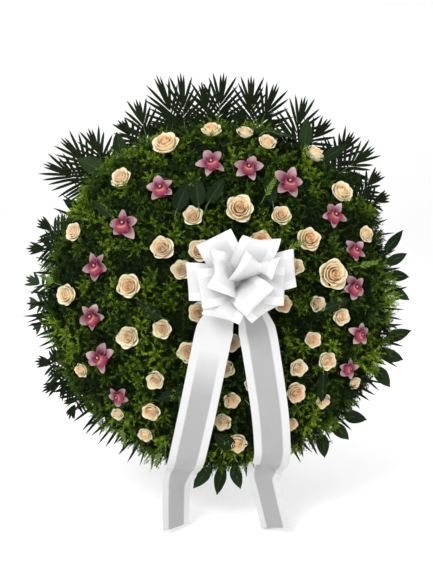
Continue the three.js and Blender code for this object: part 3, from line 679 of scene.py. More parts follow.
def satin_finish(name, edge_shade, band_shade, start=-1.0):
    """White satin with a darker band along its middle, from a share of its length on."""
    made = Finish(name, Roughness=0.38, Sheen_Weight=0.3, Sheen_Roughness=0.4)
    middle = made.band(made.across, 0.21, 0.79)
    below = made.slope(made.along, start - 0.04, start + 0.04)
    weave = made.times(made.wave(made.across, 900.0), made.wave(made.along, 2600.0))
    soft = made.ramp(made.noise(22, 4), (0.3, grey(0.95)), (0.7, grey(1)))
    edge, inner = made.tint(grey(edge_shade), soft), made.tint(grey(band_shade), soft)
    made.colour(made.mix(made.times(middle, below), edge, inner))
    made.bump(made.plus(made.times(weave, 0.3), made.times(middle, 0.4)), 0.15, 0.0004)
    return made.material


def foam_finish():
    made = Finish("floral_foam", Roughness=0.95)
    cells = made.cells(190.0)
    damp = made.ramp(made.noise(7, 6), (0.35, (0.014, 0.036, 0.016)), (0.65, (0.050, 0.105, 0.044)))
    # Painted shade in the pores: darker at the middle of each cell, where the bump sinks into a pit
    grain = made.ramp(cells, (0.1, (0.55, 0.6, 0.55)), (0.6, (1.1, 1.1, 1.1)))
    made.colour(made.tint(damp, grain))
    made.bump(cells, 0.9, 0.003)
    return made.material


def floor_finish():
    made = Finish("floor", Roughness=0.9)
    made.colour(made.ramp(made.noise(3), (0.3, grey(0.96)), (0.7, grey(0.98))))
    return made.material


# Camera, light and floor

def make_camera():
    data = bpy.data.cameras.new("camera")
    camera = put_in_scene("camera", data)
    long_side = max(PHOTO)
    data.lens = data.sensor_width * FRONT_VIEW["eye"] / FRONT_VIEW["pixel"] / long_side
    data.shift_x = (PHOTO[0] / 2 - FRONT_VIEW["centre"][0]) / long_side
    data.shift_y = (FRONT_VIEW["centre"][1] - PHOTO[1] / 2) / long_side
    camera.location = leaning_place((0, -FRONT_VIEW["eye"] - FRONT_VIEW["plane"], 0))
    camera.rotation_euler = (pi / 2 - LEAN, 0, 0)
    bpy.context.scene.camera = camera


def area_light(name, place, target, size, power):
    data = bpy.data.lights.new(name, "AREA")
    data.size = size
    data.energy = power
    light = put_in_scene(name, data)
    light.location = place
    light.rotation_euler = (Vector(target) - Vector(place)).to_track_quat("-Z", "Y").to_euler()


def make_light():
    world = bpy.data.worlds.new("studio")
    world.use_nodes = True
    sky = world.node_tree.nodes["Background"].inputs
    sky["Color"].default_value = grey(1)
    sky["Strength"].default_value = SKY
    bpy.context.scene.world = world
    bpy.context.scene.view_settings.view_transform = "Standard"
    for name, light in LIGHTS.items():
        area_light(name, *light)


def make_backdrop():
    """A pale floor that sweeps up behind into a wall."""
    wide, front, rear, bend, tall = 6, -4, 3.2, 1.2, 4
    turn = np.linspace(0, pi / 2, 13)
    sweep = [(rear + bend * sin(a), bend * (1 - cos(a))) for a in turn]
    profile = [(front, 0), *sweep, (rear + bend, tall)]
    points = [(x, y, z) for x in (-wide, wide) for y, z in profile]
    n = len(profile)
    mesh = bpy.data.meshes.new("backdrop")
    mesh.from_pydata(points, [], [(i, i + n, i + n + 1, i + 1) for i in range(n - 1)])
    mesh.shade_smooth()
    mesh.materials.append(floor_finish())
    put_in_scene("backdrop", mesh)


# Fern

def fern_core():
    """The near-black inside of the fern, painted shade that shows in the gaps between the plumes: a dome with
    a flat back, and a pocket for the foam.
    """
    pocket, deep = FOAM["radius"] + FOAM["gap"], -FOAM["thickness"] - FOAM["gap"]
    radii = DOME["radius"] * np.sin(np.linspace(0.02, 0.46 * pi, 34)) ** (2 / DOME["power"])
    normals = dome_normal(radii, 0 * radii)
    depth = 2 + 15 * np.minimum(1, dome_height(radii) / 80)
    front = np.stack([radii - normals[:, 0] * depth, -dome_height(radii) - normals[:, 1] * depth], -1)
    profile = [*front, (DOME["radius"] - 2, -1), (pocket, -1), (pocket, deep), (2, deep)]
    sides = 96
    angle = full_turn(sides)
    rings = [r * spoke(angle) + [0, y, 0] for r, y in profile]
    index = np.arange(len(profile) * sides).reshape(len(profile), sides)
    after = np.roll(index, -1, axis=1)
    walls = np.stack([index[:-1], index[1:], after[1:], after[:-1]], -1).reshape(-1, 4)
    shape = Shape()
    shape.add(np.array(rings), [walls, index[:1], index[-1:, ::-1]], (0.3, 0.5, 0.5))
    return shape


def fern_places():
    """A honeycomb of places on the dome, ring by ring, as radii and directions, and which of them are
    the tips of tall plumes."""
    corners = [(1, 0), (0, 1), (-1, 1), (-1, 0), (0, -1), (1, -1)]
    turns = np.linspace(0, pi / 2, 401)
    radii = DOME["radius"] * np.sin(turns) ** (2 / DOME["power"])
    heights = DOME["depth"] * np.cos(turns) ** (2 / DOME["power"])
    lengths = np.concatenate([[0], np.cumsum(np.hypot(np.diff(radii), np.diff(heights)))])
    places = []
    for k in range(1, FERN["rings"]):
        r = np.interp(k / FERN["rings"] * lengths[-1], lengths, radii)
        for m in range(6 * k):
            side, step = divmod(m, k)
            (a, b), (c, d) = corners[side], corners[(side + 2) % 6]
            tip = (k * (a - b) + step * (c - d)) % 3 == 0
            places.append((r, 2 * pi * m / (6 * k), tip))
    return np.array(places)


def ribbon_points():
    return np.concatenate([tail_line(spec)[0] for spec in TAILS.values()])


def fern_room(feet):
    """How tall the fern may stand at places of the dome: lowest under a bloom, low under the ribbon."""
    room = np.full(len(feet), float(FERN["tallest"]))
    blooms = [(rose[:3], FERN["under_rose"]) for cluster in ROSE_CLUSTERS for rose in cluster]
    blooms += [(orchid[:3], FERN["under_orchid"]) for orchid in ORCHIDS]
    for (across, up, breadth), under in blooms:
        gap = np.linalg.norm(feet - seat_of(across, up, 0)[0], axis=-1) - breadth / 2
        room = np.minimum(room, np.interp(gap, [-8, 3, 20], [under, 11, FERN["tallest"]]))
    for point in ribbon_points():
        near = np.hypot(*(feet - point)[:, ::2].T) < 0.6 * RIBBON["width"]
        room = np.where(near, np.minimum(room, FERN["under_tail"]), room)
    near = np.hypot(*(feet - BOW_CENTRE)[:, ::2].T) < 140
    return np.where(near, np.minimum(room, FERN["under_bow"]), room)


def plume_needles(feet, normals, heights, spread, branchlets, needles):
    """Needles along the branchlets of plumes. One branchlet of a plume stands up and the others lean
    out round it."""
    n = len(feet)
    side = unit(np.cross(normals, [0.03, 0.02, 1.0]))
    top = np.cross(normals, side)
    turn = full_turn(branchlets) + vary(0, 7, (n, 1))
    turn = turn + random.normal(0, 0.25, (n, branchlets))
    sideways = np.cos(turn)[..., None] * side[:, None] + np.sin(turn)[..., None] * top[:, None]
    lean = spread[:, None] * vary(0.75, 1.25, (n, branchlets))
    rise = (heights[:, None] + FERN["sunk"]) * vary(0.72, 0.95, (n, branchlets))
    lean[:, 0], rise[:, 0] = 0.3 * spread, heights + FERN["sunk"]
    share = vary(0.3, 1, (n, branchlets, needles))[..., None]
    normals, sideways = normals[:, None, None], sideways[:, :, None]
    rise, lean = rise[..., None, None], lean[..., None, None]
    base = feet[:, None, None] + normals * (rise * share - FERN["sunk"]) + sideways * lean * share ** 2
    stalk = unit(normals * rise + sideways * 2 * lean * share)
    out = random.normal(size=base.shape)
    out = unit(out - stalk * np.sum(out * stalk, -1, keepdims=True))
    angle = np.radians(62 - 30 * share + random.normal(0, 9, share.shape))
    length = FERN["needle"] * (1.1 - 0.35 * share) * vary(0.7, 1.2, share.shape)
    tip = base + length * (stalk * np.cos(angle) + out * np.sin(angle))
    # How high a needle stands in its plume, from 0 to 1: this sets its painted shade, darkest low down
    height = 0.55 * (share - 0.3) / 0.7 + 0.45 * (rise * share - FERN["sunk"]) / 34
    return base, tip, np.clip(height, 0, 1)[..., 0]


def fern_tone(point):
    """How bright the fern is at a place: soft patches, and finer changes from plume to plume."""
    wide = noise.noise(Vector(point) / 140 + Vector((2, 5, 9)))
    broad = noise.noise(Vector(point) / 55)
    fine = noise.noise(Vector(point) / 25 + Vector((7, 3, 5)))
    return 0.47 + 0.7 * wide + 1.15 * broad + 0.4 * fine


def add_plumes(shape, feet, normals, heights, spread, kind):
    branchlets, needles = PLUMES[kind]
    base, tip, height = plume_needles(feet, normals, heights, spread, branchlets, needles)
    tones = np.array([fern_tone(foot) for foot in feet]) + random.normal(0, 0.08, len(feet))
    tones = tones[:, None, None] + random.normal(0, 0.05, (len(feet), branchlets, 1))
    tones = np.clip(tones + random.normal(0, 0.05, height.shape), 0, 1)
    flat = (base.reshape(-1, 3), tip.reshape(-1, 3))
    shape.add_needles(*flat, FERN["girth"], tones.ravel(), height.ravel())


def fern_plumes():
    """Tall plumes and low ones between them over the dome, and a fringe that lies out at the rim."""
    r, turn, tip = fern_places().T
    r = np.clip(r + vary(-6, 6, len(r)), 4, DOME["radius"] - 2)
    turn = turn + vary(-7, 7, len(r)) / r
    feet = np.stack([r * np.cos(turn), -dome_height(r), r * np.sin(turn)], -1)
    normals = dome_normal(feet[:, 0], feet[:, 2])
    normals = unit(normals + random.normal(0, 0.16, normals.shape))
    room = fern_room(feet)
    tall = tip > 0
    swell = [noise.noise(Vector(foot) / 55) + 0.4 * noise.noise(Vector(foot) / 130) for foot in feet]
    wanted = np.where(tall, vary(26, 44, len(r)), vary(4, 16, len(r)))
    wanted = wanted * np.interp(swell, [-0.35, 0.35], [0.5, 1.2])
    height = np.minimum(wanted, room)
    height = np.where(feet[:, 1] > -60, np.minimum(height, 26), height)
    spread = np.where(tall, np.interp(height, [8, 30], [15, 24]), 15)
    quarter = (np.degrees(turn) + 45) % 360 // 90
    fringe = fern_fringe()
    for k, name in enumerate(("right", "top", "left", "bottom")):
        shape = Shape()
        for chosen, kind in ((tall, "tall"), (~tall, "low")):
            here = chosen & (quarter == k)
            add_plumes(shape, feet[here], normals[here], height[here], spread[here], kind)
        here = (np.degrees(fringe[3]) + 45) % 360 // 90 == k
        feet_out, directions, heights = (column[here] for column in fringe[:3])
        add_plumes(shape, feet_out, directions, heights, 8 + 0.28 * heights, "fringe")
        piece(f"fern_{name}", shape, [FERN_GREEN], ["fern_mat"], crease=180)


def fern_back():
    """Needles that lie flat on the back all round the foam, clear of the stand's legs."""
    count = BACK_NEEDLES["count"]
    r = np.sqrt(vary((FOAM["radius"] + 8) ** 2, BACK_NEEDLES["reach"] ** 2, count))
    turn = vary(0, 2 * pi, count)
    roots = r[:, None] * spoke(turn) + [0, -0.8, 0]
    pointing = turn + random.normal(0, 0.6, count)
    tips = roots + spoke(pointing) * vary(9, 17, (count, 1))
    # Middling heights give the back needles the painted shade of a plume's middle
    tones, heights = vary(0, 0.5, count), vary(0.3, 0.6, count)
    shape = Shape()
    shape.add_needles(roots, tips, BACK_NEEDLES["girth"], tones, heights)
    piece("fern_back", shape, [FERN_GREEN], ["fern_mat"], crease=180)


def fern_fringe():
    """Feet, directions, heights and angles of the plumes that lie outwards all round the rim."""
    count = FERN["fringe"]
    turn = full_turn(count) + vary(-0.012, 0.012, count)
    r = vary(466, 480, count)
    back = vary(-52, -9, count)
    outward = spoke(turn)
    feet = outward * r[:, None] + back[:, None] * [0, 1, 0]
    tilt = vary(-0.7, 0.02, count) * np.interp(-back, [9, 30], [0.3, 1])
    normals = unit(outward + tilt[:, None] * [0, 1, 0] + random.normal(0, 0.14, (count, 3)) * [1, 0, 1])
    beside = np.min([np.hypot(*(feet - point)[:, ::2].T) for point in ribbon_points()], axis=0)
    clump = [noise.noise(Vector((9 * cos(t), 9 * sin(t), 4))) for t in turn]
    height = vary(14, 42, count) * np.interp(clump, [-0.4, 0.4], [0.65, 1.5])
    return feet, normals, height * np.interp(beside, [50, 80], [0.4, 1]), turn


# Roses

def bezier(v, a, b, c, d):
    return a * (1 - v) ** 3 + 3 * b * v * (1 - v) ** 2 + 3 * c * v ** 2 * (1 - v) + d * v ** 3


def rose_petal(whorl, radius, middle, slack):
    """One petal's grid: up from the base, over the mouth and curled out at a pointed lip."""
    v, u = blade_grid(8, 8)
    v = v * (1 - 0.24 * np.abs(u) ** 2.6)
    mouth, height, curl = whorl["mouth"] * slack[0], whorl["height"] * slack[1], whorl["curl"]
    out = bezier(v, 0.1, mouth * 1.1 + 0.08, mouth * 0.9, mouth)
    up = bezier(v, 0.04, 0.0, height * 0.72, height)
    lip = np.clip((v - 0.66) / 0.34, 0, 1) ** 1.6
    point = np.exp(-((u - slack[2]) / 0.3) ** 2)
    out = out + curl * lip * (0.34 + 0.1 * point - 0.12 * np.abs(u)) + 0.035 * u
    up = up - curl * lip * (0.12 + 0.34 * np.abs(u) ** 1.4) + 0.05 * curl * lip * np.sin(5 * u + 9 * slack[0])
    swing = radians(whorl["half"]) * (0.4 + 0.6 * np.sin(np.minimum(v / 0.6, 1) * pi / 2))
    angle = middle + u * swing
    return radius * np.stack([out * np.cos(angle), out * np.sin(angle), up], -1)


def rose_heart(radius):
    """The rolled petals in the middle."""
    v, turn = np.meshgrid(np.linspace(0, 1, 3), np.linspace(0, 2.3 * 2 * pi, 30), indexing="ij")
    share = turn / turn.max()
    out = 0.22 * (1 - share) + 0.03 + 0.03 * v
    up = 0.5 + (0.56 + 0.06 * np.sin(turn * 1.5)) * v
    return radius * np.stack([out * np.cos(turn), out * np.sin(turn), up], -1)


def add_rose(shape, across, up, breadth):
    radius = breadth / 2
    foot, axes = seat_of(across, up, vary(0, 2 * pi))
    foot = foot + 2 * axes[2]
    open_tone = vary(-0.22, 0.14) + (0.12 if breadth > 66 else 0)
    turn = 0
    for k, whorl in enumerate(ROSE_WHORLS):
        turn += 0.6
        for j in range(whorl["petals"]):
            middle = turn + 2 * pi * j / whorl["petals"] + vary(-0.12, 0.12)
            slack = [vary(*limits) for limits in PETAL_SLACK]
            grid = rose_petal(whorl, radius, middle, slack)
            tone = np.clip(0.95 - 0.22 * k + open_tone + vary(-0.08, 0.08), 0, 1)
            shape.add_sheet(grid @ axes + foot, PETAL_THICKNESS, tone)
    shape.add_sheet(rose_heart(radius) @ axes + foot, PETAL_THICKNESS * 0.8, 0.12 + open_tone / 2)
    down = [foot + axes[2] * h for h in (0.2 * radius, -4, -18, -34)]
    shape.add_tube(down, [0.2 * radius, 0.16 * radius, 3, 3], 8, 0.5, finish=1)


def roses():
    for i, cluster in enumerate(ROSE_CLUSTERS, 1):
        shape = Shape()
        for rose in cluster:
            add_rose(shape, *rose)
        piece(f"rose_heads_{i:02d}", shape, [ROSE, STEM], [f"roses_{i:02d}"], crease=70)


# Orchids

def dish_at(out, radius):
    return TEPAL["dish"] * out * (1 - out / (1.7 * radius))


def tepal_grid(radius, direction, wave, twist, bend):
    """A tepal's grid, from the middle out to its pointed tip, cupped, waved, twisted and bent."""
    v, u = blade_grid(12, 7)
    share = 0.07 + 0.925 * v
    half = radius * TEPAL["half"] * (4 * share * (1 - share)) ** 0.65 * (1.12 - 0.24 * v)
    out = radius * (0.06 + 0.94 * v)
    side = half * u
    cup = 0.6 * half * u ** 2 * (1 - 0.5 * v) + twist * half * u * v
    wavy = 0.05 * radius * wave * np.sin(6 * v + 2.4 * u)
    rise = TEPAL["base"] + dish_at(out, radius) + 0.5 + cup + wavy + bend * radius * v ** 2
    c, s = cos(direction), sin(direction)
    return np.stack([out * c - side * s, out * s + side * c, rise], -1)


def lip_grid(radius):
    """The lip: a trough from under the column that widens into a ruffled lobe, turned down."""
    v, u = blade_grid(14, 11)
    places = [(0.04, 0.0), (-0.06, 0.2), (-0.18, 0.36), (-0.36, 0.42), (-0.52, 0.32), (-0.6, 0.12)]
    line = curve_through(places, 14)
    half = np.interp(v, [0, 0.2, 0.45, 0.7, 0.9, 1], [0.16, 0.3, 0.33, 0.39, 0.32, 0.12])
    up = line[:, 0][:, None] + 0.34 * u ** 2 * np.clip(1 - 1.5 * v, 0, 1)
    ruffle = 0.04 * np.sin(10 * u) * v ** 2
    off = line[:, 1][:, None] + 0.2 * u ** 2 * np.clip(1.2 - 1.3 * v, 0, 1) + ruffle
    return np.stack([radius * half * u, radius * up, TEPAL["base"] + 2 + radius * off], -1)


def orchids():
    base = TEPAL["base"]
    for i, (across, up, breadth, turn) in enumerate(ORCHIDS, 1):
        radius = breadth / 2
        foot, axes = seat_of(across, up, radians(turn))
        shape = Shape()
        for k in range(5):
            direction = pi / 2 + 2 * pi * k / 5 + vary(-0.25, 0.25)
            slack = [vary(*limits) for limits in TEPAL_SLACK]
            grid = tepal_grid(radius * vary(0.8, 1.03), direction, *slack)
            shape.add_sheet(grid @ axes + foot, TEPAL["thickness"], vary(0.3, 0.7))
        shape.add_sheet(lip_grid(radius) @ axes + foot, TEPAL["thickness"], 0.5, finish=1)
        line = [(0, 0.05, 0), (0, 0.1, 0.14), (0, 0.08, 0.28), (0, 0.02, 0.36), (0, -0.02, 0.38)]
        column = curve_through(radius * np.array(line) + [0, 0, base], 9)
        girth = radius * np.array([0.07, 0.065, 0.06, 0.06, 0.065, 0.075, 0.075, 0.06, 0.02])
        shape.add_tube(column @ axes + foot, girth, 10, 0.5, finish=2)
        stalk = [foot + axes[2] * h for h in (base + 1, base - 6, 0, -16)]
        shape.add_tube(stalk, [4, 3, 3, 3], 8, 0.5, finish=3)
        finishes = [TEPALS, LIP, COLUMN, STEM]
        piece(f"orchid_bloom_{i:02d}", shape, finishes, [f"orchid_{i:02d}"], crease=70)


# Foliage

def fan_of(row, height):
    """The blades of a row: their root, each one's direction, where its stalk ends and its tip."""
    middle = spoke(sum(radians(blade[0]) for blade in row) / len(row))
    root = BLADE["root"] * middle + [0, -height, 0]
    further = 1 + FRONT_VIEW["plane"] / FRONT_VIEW["eye"]
    blades = []
    for direction, reach, *rest in row:
        tip = reach * further * spoke(radians(direction)) + [0, -height, 0] - root
        along = unit(tip)
        inward = BLADE["root"] * (along @ middle)
        start = sqrt(inward ** 2 + BLADE["bare"] ** 2 - BLADE["root"] ** 2) - inward
        blade = {"root": root, "middle": middle, "along": along, "start": start, "tip": np.linalg.norm(tip)}
        blades.append({**blade, "rest": rest})
    return blades


def stand_blade(points, blade):
    """Stands points of a flat blade at the rim: x across it, y along it and z off it."""
    roll = radians(BLADE["roll"])
    x = points[..., 0] * cos(roll) + points[..., 2] * sin(roll)
    z = points[..., 2] * cos(roll) - points[..., 0] * sin(roll)
    outward = np.array([0, -1.0, 0])
    side = np.cross(blade["along"], outward)
    placed = x[..., None] * side + points[..., 1:2] * blade["along"] + z[..., None] * outward + blade["root"]
    out = (placed - blade["root"]) @ blade["middle"]
    placed[..., 1] += BLADE["lean"] * out
    return placed


def leaflet_grid(start, end, half, bow, point=0.55):
    """A slender leaflet from start to end in the blade's plane, folded along its middle. A greater
    point makes its ends more slender."""
    start, end = np.array(start, float), np.array(end, float)
    v, u = blade_grid(7, 3)
    s = 0.06 + 0.93 * v
    width = half * (4 * s * (1 - s)) ** point
    along = unit(end - start)
    side = np.array([along[1], -along[0], 0])
    line = start + (end - start) * v[..., None]
    off = bow * np.sin(pi * v) + 0.25 * width * np.abs(u)
    return line + side * (u * width)[..., None] + off[..., None] * [0, 0, 1]


def frond(shape, blade, style):
    """A stalk with pairs of leaflets that narrow in towards its tip, and one at the end."""
    bare = blade["tip"] - blade["start"]
    count = max(2, min(style["pairs"], round(bare / 30)))
    length = min(style["leaflet"], 0.75 * bare)
    neck = blade["start"] + style["pitch"] * (count - 1)
    tone = vary(0.2, 0.8)
    for k in range(-style["inner"], count):
        share = k / (count - 1)
        y = blade["start"] + style["pitch"] * k
        for side in (-1, 1):
            angle = style["spread"][0] + (style["spread"][1] - style["spread"][0]) * max(share, 0)
            angle = radians(angle + vary(-3, 3))
            full = length if k >= 0 else min(style["leaflet"], length + 14 * -k)
            reach = full * (vary(0.9, 1) if share in (0, 1) else vary(0.78, 1))
            across, up = side * (BLADE["rib"] + reach * sin(angle)), y + reach * cos(angle)
            ends = (side * 0.5, y, 0), (across, up, vary(-4, 4))
            grid = leaflet_grid(*ends, style["half"], vary(0, 4), style["point"])
            shade = np.clip(tone + random.normal(0, 0.12), 0, 1)
            shape.add_sheet(stand_blade(grid, blade), BLADE["thickness"] * 0.7, shade)
    for side in (-1, 0, 1):
        end = (side * 9, blade["tip"] - 7 * abs(side), 0)
        grid = leaflet_grid((side * 0.4, neck, 0), end, style["half"], 2, style["point"])
        shape.add_sheet(stand_blade(grid, blade), BLADE["thickness"] * 0.7, tone)
    stalk = np.stack([np.zeros(6), np.linspace(0, neck + 4, 6), np.zeros(6)], -1)
    shape.add_tube(stand_blade(stalk, blade), [1.8, 1.8, 1.6, 1.4, 1.1, 0.6], 8, 0.4, finish=1)


def fronds(prefix, nodes, rows, style, finish):
    for i, row in enumerate(rows, 1):
        shape = Shape()
        for blade in fan_of(row, BLADE["height"]):
            frond(shape, blade, style)
        piece(f"{prefix}_{i:02d}", shape, [finish, STEM], [f"{nodes}_{i:02d}"], crease=60)


def leaf_grid(start, tip, breadth, cup, wave):
    """A broad leaf along y from start to tip, cupped along its midrib, with a wavy edge."""
    v, u = blade_grid(14, 9)
    shares, halves = zip(*LEAF_SHARES)
    smooth = curve_through(np.stack([shares, halves], -1), 60)
    half = breadth * np.interp(v, smooth[:, 0], smooth[:, 1])
    ruffle = wave * np.sin(11 * v + 1.5 * u) * u ** 2
    off = cup * half * u ** 2 * 0.5 + ruffle - 0.05 * (tip - start) * v ** 2
    return np.stack([half * u, start + (tip - start) * v, off], -1)


def rim_leaves():
    for i, row in enumerate(LEAF_ROWS, 1):
        shape = Shape()
        for blade in fan_of(row["leaves"], row["height"]):
            cup, wave = vary(0.1, 0.5), vary(0.6, 1.6)
            grid = leaf_grid(blade["start"] - 26, blade["tip"], blade["rest"][0], cup, wave)
            shape.add_sheet(stand_blade(grid, blade), BLADE["thickness"], vary(0, 1))
            stalk = np.stack([np.zeros(4), np.linspace(0, blade["start"] + 12, 4), np.full(4, -1.0)], -1)
            shape.add_tube(stand_blade(stalk, blade), [1.8, 1.7, 1.5, 0.9], 8, 0.4, finish=1)
        piece(f"rim_leaves_{i:02d}", shape, [LEAF, STEM], [f"broad_leaves_{i:02d}"], crease=60)


def filling_leaves():
    """Dark leaves behind the fronds."""
    shape = Shape()
    for leaf in FILLING_LEAVES:
        blade = fan_of([leaf], 12)[0]
        grid = leaf_grid(10, blade["tip"], leaf[2], 0.3, 1.2)
        shape.add_sheet(stand_blade(grid, blade), BLADE["thickness"], vary(0, 0.4))
    piece("filling_leaves", shape, [LEAF], [])


def rim_blades():
    """Slender blades that stick out of the fringe in clumps."""
    shape = Shape()
    for direction, reach, blades in RIM_BLADES:
        for share in np.linspace(-1, 1, blades):
            root = 440 * spoke(radians(direction + 4 * share)) - [0, vary(12, 40), 0]
            lean = radians(direction + 18 * share + vary(-4, 4))
            along = np.array([cos(lean), -vary(-0.05, 0.15), sin(lean)])
            length = (reach - BLADE["root"]) * 1.04 * vary(0.72, 1)
            grid = leaflet_grid((0, 0, 0), (0, length, 0), vary(2.8, 4.6), 4, 0.7)
            axes = np.array([unit(np.cross(along, [0, -1.0, 0])), along, [0, -1.0, 0]])
            shape.add_sheet(grid @ axes + root, 0.8, vary(0, 1))
    piece("rim_blades", shape, [PALM_GREEN], [])


def lay_on_face(points, across, up, direction, lift):
    """Lays points, y along and z off, on the dome with y pointing in a direction of the front view."""
    foot, normal = place_on(across, up, lift)
    along = spoke(radians(direction))
    along = unit(along - normal * (along @ normal))
    return points @ np.array([np.cross(along, normal), along, normal]) + foot


def face_leaves():
    """Dark broad leaves that show between the plumes."""
    shape = Shape()
    for across, up, direction, length, breadth in FACE_LEAVES:
        place = across, up, direction, FACE_LIFT["leaf"]
        grid = lay_on_face(leaf_grid(-length / 2, length / 2, breadth, 0.3, 1.2), *place)
        shape.add_sheet(grid, BLADE["thickness"], vary(0, 0.5))
        stalk = np.array([(0, -length / 2 - h, -d) for h, d in ((-6, 0), (8, 2), (20, 16))])
        shape.add_tube(lay_on_face(stalk, *place), 1.4, 6, 0.4, finish=1)
    piece("face_leaves", shape, [LEAF, STEM], [])


def face_sprigs():
    """Bright sprigs of small leaves between the blooms."""
    shape = Shape()
    for sprig in FACE_SPRIGS:
        place = *sprig, FACE_LIFT["sprig"]
        for k in range(16):
            y, turn = 3.6 * k, (-1) ** k * vary(0.6, 1.0)
            length = 15 - 0.5 * k
            end = (length * sin(turn), y + length * cos(turn), vary(0, 5))
            grid = leaflet_grid((0, y, 0), end, 1.9, 1)
            shape.add_sheet(lay_on_face(grid, *place), 0.8, vary(0.2, 1))
        stalk = np.array([(0, -24, -26), (0, -6, -6), (0, 16, 0), (0, 38, 1), (0, 60, 0)])
        shape.add_tube(lay_on_face(stalk, *place), [1.2, 1.2, 1, 0.8, 0.4], 6, 0.5, finish=1)
    piece("face_sprigs", shape, [SPRIG, STEM], [])


# Ribbon

def ribbon_grid(line, widths, sides, columns):
    """A ribbon's grid: at each point of its line, its width along its side direction."""
    tangent = unit(np.gradient(line, axis=0))
    across = unit(sides - tangent * np.sum(sides * tangent, -1, keepdims=True))
    off = widths[:, None] * np.linspace(-0.5, 0.5, columns)
    return line[:, None] + across[:, None] * off[..., None], np.cross(tangent, across)


def grid_area(grid):
    """The area of a grid of points in square metres."""
    a = grid[1:, :-1] - grid[:-1, :-1]
    b = grid[:-1, 1:] - grid[:-1, :-1]
    return float(np.linalg.norm(np.cross(a, b), axis=-1).sum()) / 1e6


def loop_grid(direction, lift, length, height, lie):
    """A loop of the bow, from its knot out and back, with the ribbon gathered in pleats at its feet."""
    a, e, w = (radians(x) for x in (direction, lift, lie))
    along = np.array([cos(a) * cos(e), -sin(e), sin(a) * cos(e)])
    out = np.array([0, -1.0, 0])
    out = unit(out - along * (out @ along))
    shares = curve_through(LOOP_LINE, LOOP_POINTS)
    places = np.linspace(0, len(LOOP_WIDTHS) - 1, LOOP_POINTS)
    widths = np.interp(places, range(len(LOOP_WIDTHS)), LOOP_WIDTHS)
    line = BOW_CENTRE + shares[:, :1] * length * along + shares[:, 1:] * height * out
    sides = np.broadcast_to([cos(w), 0, sin(w)], line.shape)
    grid, off = ribbon_grid(line, widths, sides, LOOP_COLUMNS)
    folds = np.sin(np.linspace(-2.5, 2.5, LOOP_COLUMNS) * pi)
    pleat = (1 - widths / 100)[:, None] * folds[None, :] * 3.5
    return grid + off[:, None] * pleat[..., None]


def bow():
    shape = Shape()
    area, length = 0, 0
    for loop in BOW_LOOPS:
        grid = loop_grid(*loop)
        shape.add_sheet(grid, RIBBON["thickness"], vary(0.4, 0.6))
        area += grid_area(grid)
        length += np.linalg.norm(np.diff(grid[:, LOOP_COLUMNS // 2], axis=0), axis=-1).sum() / 1000
    made = piece("bow_loops", shape, [BOW_SATIN], ["ribbon_bow"], crease=60)
    knot = bow_knot()
    return knot


def bow_knot():
    """The ribbon wound round the loops' feet, and the wire pick that holds the bow in the fern."""
    angle = full_turn(KNOT_SIDES)
    shape = Shape()
    rings = []
    for share in np.linspace(-1, 1, KNOT_RINGS):
        swell = (1 - abs(share) ** 4) ** 0.25 * (1 + 0.04 * cos(7 * share))
        round_off = np.abs(np.cos(angle)) ** 4 + np.abs(np.sin(angle)) ** 4
        size = max(swell, 0.25) / round_off ** 0.25
        wide, deep = size * np.cos(angle) * KNOT[0] / 2, size * np.sin(angle) * KNOT[1] / 2
        rings.append(np.stack([wide, deep, np.full(KNOT_SIDES, share * KNOT[2] / 2)], -1))
    shape.add(np.array(rings) + BOW_CENTRE, ring_faces(KNOT_RINGS, KNOT_SIDES), (0.5, 0.5, 0.05))
    pick = [BOW_CENTRE + [0, depth, 0] for depth in (0, 60, PICK["depth"])]
    shape.add_tube(pick, PICK["radius"], 12, 0.5, finish=1)
    return piece("bow_knot", shape, [BOW_SATIN, STEM], ["ribbon_bow"])


def tail_points(spec):
    """The places that a tail runs through, each with the turn and the breadth of the ribbon there."""
    under = BOW_CENTRE[1] + KNOT[1] / 2 + FIT + 0.6
    x, z = spec["start"]
    known = [((x, under, z), 0, 34), ((x, under, z - 24), 0, 46)]
    known += [(place_on(across, up, TAIL_LIFT)[0], 0, 100) for across, up in spec["face"]]
    known += [((x, -off, z), turn, 100) for x, off, z, turn in spec["end"]]
    return known


def tail_line(spec):
    """A tail's smooth line, and at each of its points the turn and the width, and its parameter."""
    points, turns, widths = zip(*tail_points(spec))
    count = 12 * (len(points) - 1) + 1
    at = np.linspace(0, len(points) - 1, count)
    turn = np.radians(np.interp(at, range(len(points)), turns))
    return curve_through(np.array(points), count), turn, np.interp(at, range(len(points)), widths), at


def tails(knot):
    for side, spec in TAILS.items():
        line, turn, width, at = tail_line(spec)
        sides = np.stack([np.cos(turn), np.sin(turn), np.zeros(len(at))], -1)
        grid, off = ribbon_grid(line, width, sides, TAIL_COLUMNS)
        across = np.linspace(-1, 1, TAIL_COLUMNS)[None, :]
        pleat = (1 - width / 100)[:, None] * np.sin(across * 8) * 4
        bow_across = 1.5 * np.sin(at * 1.7)[:, None] * across ** 2 + 0.8 * np.sin(at * 3.1)[:, None] * across
        grid = grid + off[:, None] * (pleat + bow_across)[..., None]
        shape = Shape()
        shape.add_sheet(grid, RIBBON["thickness"], 0.5)
        # The tails' satin is a shaded copy of the bow's: its edges are painted darker (0.67 against 0.84),
        # painted shade that holds the brightly lit tails down
        satin = satin_finish(f"satin_{side}", 0.67, 0.37, spec["grey"])
        made = piece(f"tail_{side}", shape, [satin], [f"ribbon_tail_{side}"], crease=60)


# Stand

def add_rod(shape, start, end):
    """A round rod with softened ends."""
    along = unit(end - start)
    line = [start, start + along * 0.6, start + along * 2, end - along * 2, end - along * 0.6, end]
    shape.add_tube(line, [ROD - 1.4, ROD - 0.5, ROD, ROD, ROD - 0.5, ROD - 1.4], 24, 0.5)


